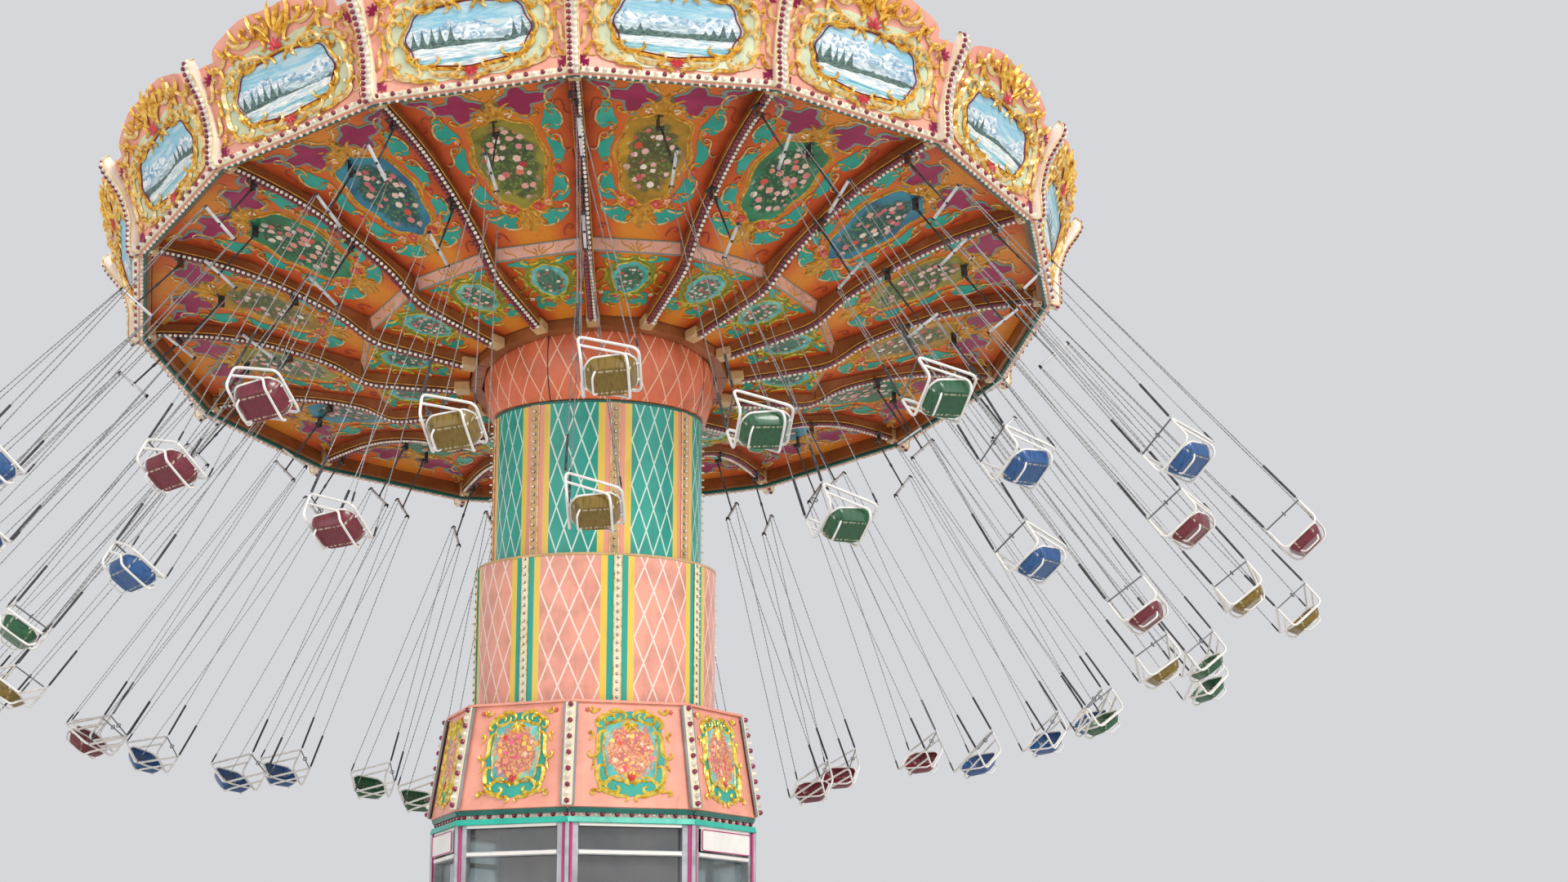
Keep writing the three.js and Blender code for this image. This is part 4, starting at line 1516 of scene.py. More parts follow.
@dataclass(frozen=True)
class Ceiling:
    """The painted ceiling: sixteen bays with a picture in a waved gold frame and airbrushed scrollwork.

    Attributes:
        picture: the outer picture of each bay.
        inlay: the small picture of each bay inside the riser.
        lift: how far painted fields stand off the ceiling.
    """

    picture: Outline = Outline((0.0, 4.12), (0.37, 0.63), ((4, 0.05, 0.0), (8, 0.045, 0.4)), 3.4, 0.17)
    inlay: Outline = Outline((0.0, 2.42), (0.21, 0.3), ((4, 0.07, 0.0), (8, 0.04, 0.4)), 3.0, 0.15)
    lift: float = 0.004

    def design(self) -> Maker:
        """One bay's fields, flowers and scrolls, laid onto its side."""
        bay = Maker("bay")
        self.fields(bay)
        self.gilding(bay)
        self.strokes(bay)
        bay.lay(CEILING)
        return bay

    def fields(self, bay: Maker) -> None:
        """Adds the painted fields and both pictures.

        Args:
            bay: the bay's design.
        """
        lift = self.lift
        bay.add(patch(self.picture, lift + 0.006, 0.008, 12),
                Blossoms("ceiling_blossoms", 4.12, (0.37, 0.63), Ground.MEADOW, 0.12))
        bay.add(chip(self.inlay, lift + 0.006, 36),
                Blossoms("inlay_blossoms", 2.42, (0.2, 0.3), Ground.TURQUOISE, 0.07))
        halo = Outline((0.0, 4.12), (0.415, 0.675), ((4, 0.07, 0.0), (8, 0.07, 0.4)), 3.2, 0.17)
        bay.add(patch(halo, lift, 0.005, 10), OCHRE)
        sun = Outline((0.0, 2.42), (0.28, 0.38), ((4, 0.1, 0.0), (8, 0.06, 0.4)), 3.0, 0.15)
        bay.add(chip(sun, lift, 36), OLIVE)
        wings = (
            ((0.36, 5.04), (0.27, 0.24), ((4, 0.3, 0.5), (3, 0.1, 0.0)), 0.15, GREY_TEAL, 0.003),
            ((0.36, 5.04), (0.22, 0.19), ((4, 0.34, 0.5), (3, 0.12, 0.0)), 0.15, MAGENTA, 0.006),
            ((0.74, 5.2), (0.17, 0.09), ((3, 0.3, 0.4),), 0.5, GREY_TEAL, 0.002),
            ((0.75, 5.2), (0.11, 0.05), ((3, 0.3, 0.4),), 0.5, MAGENTA, 0.006),
            ((0.62, 4.68), (0.11, 0.22), ((3, 0.2, 1.4), (5, 0.1, 0.0)), -0.2, TEAL, 0.003),
            ((0.55, 4.2), (0.07, 0.2), ((3, 0.2, 0.4), (5, 0.1, 0.0)), 0.1, TEAL, 0.003),
            ((0.45, 3.66), (0.1, 0.2), ((3, 0.18, 0.8), (5, 0.08, 0.0)), -0.3, TEAL, 0.003),
            ((0.3, 3.3), (0.16, 0.1), ((3, 0.2, 0.2), (5, 0.08, 0.0)), 0.35, TEAL, 0.004),
            ((0.27, 2.8), (0.12, 0.06), ((3, 0.25, 0.5),), 0.2, TEAL, 0.003),
            ((0.18, 1.98), (0.1, 0.13), ((3, 0.22, 0.9),), -0.5, TEAL, 0.003),
            ((0.9, 5.36), (0.14, 0.05), ((3, 0.2, 0.0),), 0.3, OCHRE, 0.0),
        )
        bends = [radius * CEILING.flat for radius, _ in CEILING.profile]
        for centre, half, lobes, turn, finish, more in wings:
            wing = Outline(centre, half, lobes, turn=turn)
            for each in (wing, wing.mirrored()):
                bay.add(chip(each, lift + more, bends=bends), finish)
        bay.add(chip(Outline((0.0, 4.92), (0.16, 0.17), ((5, 0.12, 1.2),)), lift + 0.003), OCHRE)
        bay.add(chip(Outline((0.0, 3.3), (0.13, 0.18), ((5, 0.15, 1.2),)), lift + 0.003), OCHRE)
        for x, rho, size, petals in ((0.14, 3.46, 0.055, RED_PETAL), (0.27, 3.5, 0.045, BOARD_PINK),
                                     (0.36, 3.58, 0.04, RED_PETAL), (0.5, 3.94, 0.035, RED_PETAL),
                                     (0.16, 4.83, 0.04, CREAM), (0.12, 2.04, 0.035, RED_PETAL),
                                     (0.3, 2.1, 0.028, CREAM), (0.52, 4.5, 0.035, BOARD_PINK)):
            for side in (-1, 1):
                flower(bay, (side * x, rho), size, lift + 0.01, petals, OCHRE)

    def gilding(self, bay: Maker) -> None:
        """Adds the gold frames of both pictures, with their shells and scrolls.

        Args:
            bay: the bay's design.
        """
        gilt = Carving(13)
        gilt.lines.draw(self.picture.loop(48), 0.016, closed=True)
        gilt.shell((0.0, 4.76), 90, 0.36, 0.026, 5, 130)
        gilt.shell((0.0, 3.48), -90, 0.34, 0.022, 5, 110)
        gilt.scrolls(
            (C_SCROLL, (0.34, 4.78), -14, 0.52, 0.022), (C_SCROLL, (0.5, 4.44), 98, 0.46, 0.02, -1),
            (C_SCROLL, (0.46, 3.94), 84, 0.42, 0.02, -1), (C_SCROLL, (0.34, 3.56), 52, 0.42, 0.02, -1),
            (S_SCROLL, (0.2, 3.38), 22, 0.4, 0.017), (HOOK, (0.6, 4.9), 66, 0.36, 0.016, -1),
        )
        gilt.onto(bay, CEILING_GOLD, 0.5, self.lift + 0.01)
        sun = Carving(14)
        sun.lines.draw(self.inlay.loop(36), 0.015, closed=True)
        sun.scrolls(
            (C_SCROLL, (0.3, 2.42), 92, 0.5, 0.022, -1), (C_SCROLL, (0.16, 2.78), 10, 0.36, 0.022),
            (C_SCROLL, (0.14, 2.08), -14, 0.32, 0.02, -1), (S_SCROLL, (0.33, 2.68), 60, 0.3, 0.016),
            (HOOK, (0.2, 1.86), 64, 0.26, 0.014), (S_SCROLL, (0.3, 2.2), 112, 0.3, 0.016),
        )
        sun.shell((0.0, 2.12), -90, 0.2, 0.018, 5, 100)
        sun.onto(bay, CEILING_YELLOW, 0.5, self.lift + 0.008)

    def strokes(self, bay: Maker) -> None:
        """Adds the cream edges of the fields and the rust-coloured flourishes.

        Args:
            bay: the bay's design.
        """
        pale = Carving(14)
        pale.scrolls(
            (S_SCROLL, (0.36, 5.3), -4, 0.6, 0.014), (C_SCROLL, (0.66, 5.1), 62, 0.44, 0.015, -1),
            (C_SCROLL, (0.74, 4.72), 98, 0.5, 0.014), (S_SCROLL, (0.64, 4.3), 88, 0.44, 0.012),
            (C_SCROLL, (0.56, 3.7), 74, 0.46, 0.014), (HOOK, (0.46, 3.36), 40, 0.36, 0.014),
            (C_SCROLL, (0.24, 3.18), 14, 0.36, 0.013), (S_SCROLL, (0.9, 5.4), 24, 0.4, 0.013),
            (C_SCROLL, (0.14, 5.2), 60, 0.3, 0.013),
        )
        pale.onto(bay, CEILING_PALE, 0.4, self.lift + 0.008)
        rust = Carving(14)
        rust.scrolls(
            (S_SCROLL, (0.8, 4.86), 82, 0.42, 0.012), (HOOK, (0.4, 3.14), 12, 0.3, 0.011, -1),
            (S_SCROLL, (0.72, 4.1), 84, 0.34, 0.011), (HOOK, (0.62, 3.46), 70, 0.3, 0.011, -1),
            (S_SCROLL, (0.42, 2.5), 88, 0.3, 0.009),
        )
        rust.onto(bay, RUST, 0.4, self.lift + 0.006)

    def riser(self) -> Maker:
        """The ornament on one side of the step between the inner and the outer bays."""
        side = Maker("riser")
        stroke = Carving(12)
        stroke.scrolls(*((S_SCROLL, (x, 0.08), 20, 0.3, 0.013) for x in (0.12, 0.36)))
        stroke.shell((0.0, 0.02), 90, 0.13, 0.014, 5, 130)
        stroke.onto(side, OCHRE, 0.5, 0.006)
        edge = Lines()
        for s, reach in ((0.008, 0.583), (0.16, 0.593)):
            edge.draw(straight(reach, s, 0.0), 0.013)
        side.line(edge, GREY_TEAL)
        side.lay(RISER)
        return side

    def build(self) -> None:
        """Makes the ceiling."""
        ceiling = Maker("ceiling")
        marks = [r * CEILING.flat for r in (1.64, 2.95, 3.0, 3.3, 3.6, 4.0, 4.45, 4.85, 5.25, 5.65)]
        skin(ceiling, CEILING, marks, 0.04, CeilingPaint("ceiling_paint_orange"), CROWN.matrix)
        skin(ceiling, RISER, (0.012, 0.152), -0.006, BLUSH, CROWN.matrix)
        ceiling.copy(self.design(), CEILING.turns(CROWN.matrix), [i % 4 for i in range(CROWN_SIDES)])
        ceiling.copy(self.riser(), RISER.turns(CROWN.matrix))
        hang(ceiling, "middle", 0.15)
        ceiling.finish("crown", "ceiling_paint", "soffit")


def beside_hinge(point: Vector, axis: Vector) -> Matrix:
    """A place at a hinge, with X along its axis and Z up.

    Args:
        point: the middle of the hinge.
        axis: its axis.
    Returns:
        The place.
    """
    side = Vector((0, 0, 1)).cross(axis).normalized()
    up = axis.cross(side)
    turn = Matrix((axis, side, up)).transposed().to_4x4()
    return Matrix.Translation(point) @ turn


def hanger_plate(height: float) -> Shape:
    """A hanger beside a chair's knuckle: a plate with a bolted lug and a foot flange.

    Args:
        height: how far it reaches above the hinge.
    Returns:
        The shape.
    """
    shape = box((0.016, 0.08, height + 0.038), (0.0383, 0, (height - 0.038) / 2), 0.004)
    bmesh.ops.create_cone(shape, cap_ends=True, segments=8, radius1=0.026, radius2=0.026, depth=0.012,
                          matrix=Matrix.Translation((0.052, 0, 0)) @ Matrix.Rotation(math.pi / 2, 4, "Y"))
    foot = Matrix.Translation((0.038, 0, height - 0.012)) @ Matrix.Diagonal((0.1, 0.13, 0.018, 1.0))
    bmesh.ops.create_cube(shape, size=1.0, matrix=foot)
    return shape


def hang(maker: Maker, ring: str, height: float) -> None:
    """Adds the hangers of one ring of chairs.

    Args:
        maker: the piece.
        ring: the ring's name.
        height: how far its hangers reach above the hinges.
    """
    for number in range(CROWN_SIDES):
        point, axis, _ = CROWN.hinge(f"chair_{ring}_{number + 1:02d}")
        maker.add(hanger_plate(height), BLACK, CROWN.matrix @ beside_hinge(point, axis))


@dataclass(frozen=True)
class Ribs:
    """The dressing of the sixteen ribs: lamp boards with two rows of lamps, shoes at both ends, and hangers.

    Attributes:
        half: half of the width of a rib's lamp board.
        row: how far each row of lamps is from the middle.
        pitch: the distance between lamps.
    """

    half: float = 0.056
    row: float = 0.029
    pitch: float = 0.066

    def underside(self) -> list[Vector]:
        """The smooth line of a rib's underside, in radius and height."""
        return flowing([(r, z, 0) for r, z in RIB_UNDERSIDE], 4)

    def design(self) -> Maker:
        """One rib's dressing at azimuth 0."""
        rib = Maker("rib")
        line = self.underside()
        low = [(p.x, p.y - 0.014) for p in line]
        high = [(p.x, p.y + 0.03) for p in reversed(line)]
        rib.add(radial([*low, *high], 2 * self.half, 0.004), RIB_DARK, crease=30.0)
        for side, finish in ((-1, LAMP_MAROON), (1, LAMP_CLEAR)):
            run = [Vector((side * self.row, -p.x, p.y - 0.013)) for p in line]
            lamp_row(rib, run, DOWN, self.pitch, (finish,), 0.024, 0.026)
            edge = Lines()
            edge.draw([Vector((side * (self.half + 0.004), -p.x, p.y + 0.02)) for p in line], 0.008)
            rib.line(edge, OCHRE)
        rib.add(box((0.16, 0.2, 0.13), (0, -1.72, RIM - 0.845), 0.012), TAN_STRIP)
        rib.add(box((0.15, 0.12, 0.2), (0, -5.64, RIM + 0.13), 0.012), TAN_STRIP)
        rib.add(box((0.13, 0.05, 0.28), (0, -3.0, RIM - 0.55), 0.01), FRAME_BROWN)
        return rib

    def build(self) -> None:
        """Makes the dressing of all ribs, with the plates that hold the outer and inner chairs."""
        ribs = Maker("rib_lamps")
        ribs.copy(self.design(), CEILING.turns(CROWN.matrix, 0.0))
        for ring in ("outer", "inner"):
            hang(ribs, ring, 0.1)
        ribs.finish("crown", "frame_paint")


@dataclass(frozen=True)
class PictureBoards:
    """The leaning ring of carved picture boards round the crown, with lamp fins at its corners.

    Attributes:
        picture: the painted view of each board.
        ground: the pale field round the view.
        crest: the raised top of each board.
        height: how high a board is beside its crest, along its curve.
    """

    picture: Outline = Outline((0.0, 0.63), (0.72, 0.37), ((4, 0.03, 0.0), (8, 0.03, 0.4)), 3.6)
    ground: Outline = Outline((0.0, 0.64), (0.94, 0.5), ((6, 0.035, 0.0), (10, 0.03, 0.6)), 3.2)
    crest: Outline = Outline((0.0, 1.12), (0.98, 0.42), ((5, 0.03, 1.57), (9, 0.03, 1.57)), 2.2)
    height: float = 1.205

    def design(self) -> Maker:
        """One board's view, frame and lamps, laid onto its side."""
        board = Maker("board")
        board.add(patch(self.crest, 0.004, 0.04, 11), BOARD_PINK)
        board.add(patch(self.ground, 0.012, 0.014, 9), MINT)
        board.add(patch(self.picture, 0.02, 0.014, 11), Landscape("board_views", 0.63, (0.72, 0.37)))
        self.carve(board)
        self.corners(board)
        board.add(box((2.22, 0.075, 0.026), (0, 0.045, 0.012), 0.006), STRIP_CREAM)
        lamp_row(board, straight(1.12, 0.045, 0.025), UP, RIM_PITCH, (LAMP_MAROON, LAMP_CLEAR), 0.03, 0.04,
                 0.046)
        board.lay(BOARDS)
        return board

    def carve(self, board: Maker) -> None:
        """Adds the carved frame round the view and the flames and shell over it.

        Args:
            board: the board's design.
        """
        for size, radius, finish in ((1.0, 0.024, GOLD), (0.93, 0.009, MAROON)):
            ring = Lines()
            ring.draw(self.picture.loop(52, size), radius, closed=True)
            board.line(ring, finish, 1.0, 0.03)
        pale = Carving(13)
        pale.scrolls(
            (C_SCROLL, (0.38, 1.06), 4, 0.66, 0.04, -1), (C_SCROLL, (0.76, 0.98), -24, 0.5, 0.038, -1),
            (C_SCROLL, (0.89, 0.76), -84, 0.46, 0.036, -1), (C_SCROLL, (0.9, 0.48), -94, 0.44, 0.036, -1),
            (C_SCROLL, (0.74, 0.21), 190, 0.52, 0.036, -1), (C_SCROLL, (0.3, 0.19), 182, 0.58, 0.036, -1),
            (C_SCROLL, (0.5, 1.24), 20, 0.5, 0.034), (C_SCROLL, (0.8, 1.12), -34, 0.42, 0.03),
            (S_SCROLL, (1.02, 0.9), -80, 0.42, 0.024), (S_SCROLL, (1.02, 0.5), -92, 0.42, 0.024),
        )
        pale.onto(board, PALE_GOLD, 0.85, 0.034)
        gold = Carving(13)
        gold.scrolls(
            (S_SCROLL, (0.56, 1.14), 24, 0.56, 0.03), (S_SCROLL, (0.2, 1.24), 50, 0.5, 0.032),
            (S_SCROLL, (0.83, 0.92), -56, 0.44, 0.028), (S_SCROLL, (0.84, 0.3), -120, 0.44, 0.028, -1),
            (S_SCROLL, (0.96, 0.66), -88, 0.4, 0.024, -1), (S_SCROLL, (0.54, 0.15), 178, 0.5, 0.026),
            (S_SCROLL, (0.14, 0.14), 184, 0.3, 0.024), (HOOK, (0.42, 1.32), 66, 0.34, 0.03),
            (HOOK, (0.66, 1.22), 44, 0.36, 0.028, -1), (HOOK, (0.86, 1.1), 30, 0.32, 0.024, -1),
            (LEAF, (0.28, 1.4), 74, 0.28, 0.03), (LEAF, (0.54, 1.34), 58, 0.26, 0.028),
            (LEAF, (0.76, 1.22), 46, 0.24, 0.026), (LEAF, (0.97, 1.1), 52, 0.24, 0.022),
            (C_SCROLL, (0.44, 0.93), -4, 0.42, 0.026), (C_SCROLL, (0.48, 0.32), 2, 0.44, 0.026),
            (HOOK, (0.14, 0.99), 10, 0.28, 0.024, -1), (HOOK, (0.7, 0.84), -50, 0.26, 0.022),
            (HOOK, (0.7, 0.42), -130, 0.26, 0.022, -1), (LEAF, (0.98, 0.28), -60, 0.2, 0.022),
        )
        gold.shell((0.0, 1.16), 90, 0.4, 0.038, 7, 130)
        gold.onto(board, GOLD, 0.85, 0.042)
        red = Carving(8)
        red.shell((0.0, 0.24), -90, 0.12, 0.022, 5, 120)
        red.shell((0.0, 1.02), 90, 0.16, 0.02, 5, 110)
        red.onto(board, RED_PETAL, 0.8, 0.05)

    @staticmethod
    def corners(board: Maker) -> None:
        """Adds the small maroon shells and gold leaves in a board's corners.

        Args:
            board: the board's design.
        """
        for x, s, aim in ((0.98, 0.2, -40), (1.0, 1.0, 45)):
            fan = Carving(6)
            fan.shell((x, s), aim, 0.13, 0.017, 5, 100, both=True)
            fan.onto(board, MAGENTA, 0.7, 0.014)
            stem = Carving(9)
            stem.scroll(C_SCROLL, (x - 0.02, s + 0.04), aim + 60, 0.24, 0.013)
            stem.onto(board, PALE_GOLD, 0.7, 0.014)

    def fin(self) -> Maker:
        """One lamp fin at azimuth 0: a cream board edge with a maroon and a white row of lamps."""
        fin = Maker("fin")
        outer = flowing([(r, z, 0) for r, z in FIN_EDGE], 4)
        inner = [(6.150, 1.140), (5.940, 0.680), (5.800, 0.280)]
        outline = [(p.x, p.y) for p in outer] + [(r, z + RIM) for r, z in inner]
        fin.add(radial(outline, 0.13, 0.008), CREAM, crease=30.0)
        edge = Lines()
        for side in (-1, 1):
            edge.draw([Vector((side * 0.066, -p.x, p.y)) for p in outer], 0.009)
        fin.line(edge, PALE_GOLD)
        for x, lamp in ((-0.032, LAMP_MAROON), (0.032, LAMP_CLEAR)):
            run = [Vector((x, -p.x, p.y)) for p in outer]
            lamp_row(fin, run, OUT, 0.07, (lamp,), 0.03, 0.036)
        return fin

    def build(self) -> None:
        """Makes the ring of boards."""
        boards = Maker("picture_boards")
        marks = [i * self.height / 10 for i in range(11)]
        skin(boards, BOARDS, marks, 0.045, BOARD_PINK, CROWN.matrix)
        variants = [(5 * i) % CROWN_SIDES for i in range(CROWN_SIDES)]
        boards.copy(self.design(), BOARDS.turns(CROWN.matrix), variants)
        boards.copy(self.fin(), BOARDS.turns(CROWN.matrix, 0.0))
        bulbs = Maker("rim_bulbs")
        lamp_row(bulbs, straight(1.09, -5.655, RIM + 0.002), DOWN, RIM_PITCH, (LAMP_CLEAR,), 0.022, 0.034)
        boards.copy(bulbs, BOARDS.turns(CROWN.matrix))
        floor = lathe([(5.716, RIM + 0.002), (5.795, RIM + 0.002), (5.795, RIM + 0.03), (5.716, RIM + 0.09)],
                      CROWN_SIDES, CROWN_PHASE)
        boards.add(floor, DEEP_TEAL, CROWN.matrix, crease=9.0)
        boards.finish("crown", "picture_boards", "rounding_boards")


@dataclass(frozen=True)
class Roof:
    """The low roof of folded sheet, with standing seams, hip caps and a capped centre.

    Attributes:
        seams: the number of seams on each side of the roof.
    """

    seams: int = 4

    def design(self) -> Maker:
        """The seams and the eaves batten of one side."""
        side = Maker("roof_side")
        for number in range(self.seams):
            share = (number + 0.5) / self.seams * 2 - 1
            seam = Lines()
            seam.draw([Vector((share * ROOF.half(s), s, 0.014)) for s in (3.72, 2.2, 0.35)], 0.016)
            side.line(seam, ROOF_SHEET, 1.6)
        batten = Lines()
        batten.draw(straight(ROOF.half(5.3), 5.3, 0.012), 0.022)
        side.line(batten, DEEP_TEAL)
        side.lay(ROOF)
        return side

    def build(self) -> None:
        """Makes the roof."""
        roof = Maker("roof_cover")
        cover = above_rim(
            (0.0, 2.48), (0.62, 2.45), (0.66, 2.40), (0.72, 2.255), (2.6, 1.51), (5.71, 0.425),
            (5.72, 0.40), (5.71, 0.385), (5.6, 0.395), (2.6, 1.46), (0.6, 2.2), (0.0, 2.42))
        roof.add(lathe(cover, CROWN_SIDES, CROWN_PHASE), ROOF_SHEET, CROWN.matrix, crease=9.0)
        roof.copy(self.design(), ROOF.turns(CROWN.matrix))
        hip = Lines(1)
        line = [Vector((0, -r, z + RIM + 0.01)) for r, z in ((0.72, 2.25), (2.6, 1.51), (5.7, 0.428))]
        hip.draw(line, 0.034)
        roof.add(hip.shape(), ROOF_SHEET, *ROOF.turns(CROWN.matrix, 0.0), crease=LINE_CREASE)
        cap = lathe([(0.0, 2.56), (0.16, 2.55), (0.3, 2.5), (0.62, 2.475), (0.64, 2.43), (0.0, 2.43)], 24)
        for vert in cap.verts:
            vert.co.z += RIM
        roof.add(cap, DEEP_TEAL, CROWN.matrix, crease=30.0)
        roof.finish("crown", "roof_cover", "roof")


@dataclass(frozen=True)
class Mast:
    """One tube of the lifting tower, with lamp strips down its sides.

    Attributes:
        name: the piece's name.
        node: the node that it stands for, and its body.
        slot: its material slot.
        radius: its outer radius.
        low: its foot.
        high: its top.
        closed: its top is closed by a plate.
        finish: its lattice paint.
        strip: the finish of its lamp strips.
        strip_half: half of the width of a strip.
        lamps: the finishes of the lamps in turn.
        flat_below: the height under which its lamps are flat, where they pass through the booth's ceiling.
        shoes: the azimuth of the first gap between the guide shoes in its open top.
        pitch: the distance between lamps.
        wall: the thickness of its wall.
    """

    name: str
    node: str
    slot: str
    radius: float
    low: float
    high: float
    closed: bool
    finish: Lattice
    strip: Finish
    strip_half: float
    lamps: tuple[Finish, ...]
    flat_below: float = 0.0
    shoes: float = 0.0
    pitch: float = 0.093
    wall: float = 0.06

    def tube(self) -> Shape:
        """The tube itself, with its guide rings or its top plate."""
        outer, inner = self.radius, self.radius - self.wall
        if self.closed:
            ceiling = self.high - self.wall
            return lathe([(0.0, self.high), (outer - 0.012, self.high), (outer, self.high - 0.012),
                          (outer, self.low), (inner, self.low), (inner, ceiling), (0.0, ceiling)], 64)
        head, foot, ring = 1.372, 1.1515, 0.09
        return lathe([(outer, self.low), (outer, self.high - 0.02), (outer - 0.02, self.high),
                      (head, self.high), (head, self.high - ring), (inner, self.high - ring),
                      (inner, self.low + ring), (foot, self.low + ring), (foot, self.low)], 64)

    def shoe(self) -> Shape:
        """One guide shoe in the open top, between two lamp strips of the tube that it guides."""
        shoe = bmesh.new()
        face_radius, back_radius, strip_room = 1.2965, 1.375, 0.066
        corners = ((face_radius, -0.085), (back_radius, -0.085), (back_radius, -0.005), (face_radius, -0.005))
        face = shoe.faces.new([shoe.verts.new((0, -r, self.high + z)) for r, z in corners])
        half = math.pi / 8 - math.asin(strip_room / face_radius)
        bmesh.ops.rotate(shoe, verts=shoe.verts, cent=(0, 0, 0), matrix=Matrix.Rotation(-half, 3, "Z"))
        bmesh.ops.spin(shoe, geom=[face, *face.edges, *face.verts], cent=(0, 0, 0), axis=(0, 0, 1),
                       angle=2 * half, steps=7, use_duplicate=False)
        outwards(shoe)
        return shoe

    def design(self) -> Maker:
        """One lamp strip at azimuth 0."""
        strip = Maker("strip")
        size = (2 * self.strip_half, 0.02, self.high - self.low - 0.06)
        strip.add(box(size, (0, -self.radius - 0.004, (self.high + self.low) / 2), 0.004), self.strip)
        ends = (self.low + 0.03, self.high - 0.03)
        for side in (-1, 1):
            bead = Lines()
            x = side * (self.strip_half + 0.005)
            bead.draw([Vector((x, -self.radius - 0.008, z)) for z in ends], 0.008)
            strip.line(bead, PALE_GOLD)
        foot, head = self.low + 0.05, self.high - 0.05
        middle = foot + self.pitch * max(0, math.ceil((self.flat_below - foot) / self.pitch))
        for low, high, rise in ((foot, middle, 0.01), (middle, head, 0.04)):
            if high > low:
                run = [Vector((0, -self.radius - 0.013, z)) for z in (low, high)]
                lamp_row(strip, run, OUT, self.pitch, self.lamps, 0.021, 0.014)
                tips = [point + Vector((0, -0.012, 0)) for point in run]
                lamp_row(strip, tips, OUT, self.pitch, (LAMP_CLEAR,), 0.013, rise)
        return strip

    def build(self) -> None:
        """Makes the tube."""
        mast = Maker(self.name)
        mast.add(self.tube(), self.finish, crease=30.0)
        step = 2 * math.pi / self.finish.strips
        angles = [self.finish.first_strip + i * step for i in range(self.finish.strips)]
        mast.copy(self.design(), [Matrix.Rotation(angle, 4, "Z") for angle in angles])
        back, front = self.radius - 0.004, self.radius + 0.008
        for z in (self.low + 0.02, self.high - 0.02):
            band = lathe([(back, z - 0.018), (front, z - 0.012), (front, z + 0.012), (back, z + 0.018)], 64)
            mast.add(band, DEEP_TEAL if self.closed else TAN_STRIP, crease=30.0)
        if not self.closed:
            turns = [Matrix.Rotation(self.shoes + (i + 0.5) * math.pi / 4, 4, "Z") for i in range(8)]
            mast.add(self.shoe(), STEEL, *turns, crease=30.0)
        mast.finish(self.node, self.slot, self.node)


@dataclass(frozen=True)
class MastHead:
    """The ball-shaped collar at the top of the inner mast, with the two lugs of the tilt pin.

    Attributes:
        radius: the radius of the ball.
        top: the height of its lip above the pivot.
        inside: the radius of its bore.
    """

    radius: float = 1.44
    top: float = 0.4
    inside: float = 1.29

    def build(self) -> None:
        """Makes the collar about the tilt pivot."""
        head = Maker("ball_collar")
        mast_top = 9.0083
        floor = mast_top - CROWN.pivot.z
        low, high = math.asin(floor / self.radius), math.asin(self.top / self.radius)
        angles = [low + (high - low) * i / 20 for i in range(21)]
        ball = [(self.radius * math.cos(a), self.radius * math.sin(a)) for a in angles]
        deck = floor + 0.045
        profile = [(0.0, floor), *ball, (self.inside, self.top), (self.inside, deck), (0.0, deck)]
        place = Matrix.Translation(CROWN.pivot)
        finish = Lattice("collar_lattice", "e2714a", "f0c9a8", 1.4, (0.28, 0.55), 4, math.radians(-26), 0.01,
                         seam=0.012)
        head.add(lathe(profile, 64), finish, place, crease=30.0)
        back = self.inside - 0.01
        lip = lathe([(back, self.top - 0.03), (1.395, self.top - 0.02), (1.398, self.top + 0.012),
                     (back, self.top + 0.012)], 64)
        head.add(lip, BLACK, place, crease=30.0)
        heading = math.atan2(JOINTS["crown_tilt"]["axis"][1], JOINTS["crown_tilt"]["axis"][0])
        along_pin = place @ Matrix.Rotation(heading, 4, "Z")
        lug = [(-0.15, floor + 0.02), (0.15, floor + 0.02), (0.15, 0.0), (0.13, 0.075), (0.075, 0.13),
               (0.0, 0.15), (-0.075, 0.13), (-0.13, 0.075), (-0.15, 0.0)]
        for side in (-1, 1):
            stand = Matrix(((0, 0, 1, side * 0.69), (1, 0, 0, 0), (0, 1, 0, 0), (0, 0, 0, 1)))
            head.add(plate(lug, 0.14, 0.008), STEEL, along_pin @ stand)
            boss = lathe([(0.083, -0.02), (0.12, -0.02), (0.12, 0.02), (0.083, 0.02)], 24)
            ends = Matrix.Translation((side * 0.775, 0, 0)) @ Matrix.Rotation(math.pi / 2, 4, "Y")
            head.add(boss, BLACK, along_pin @ ends)
        head.finish("inner_mast", "head_paint", "mast_head")


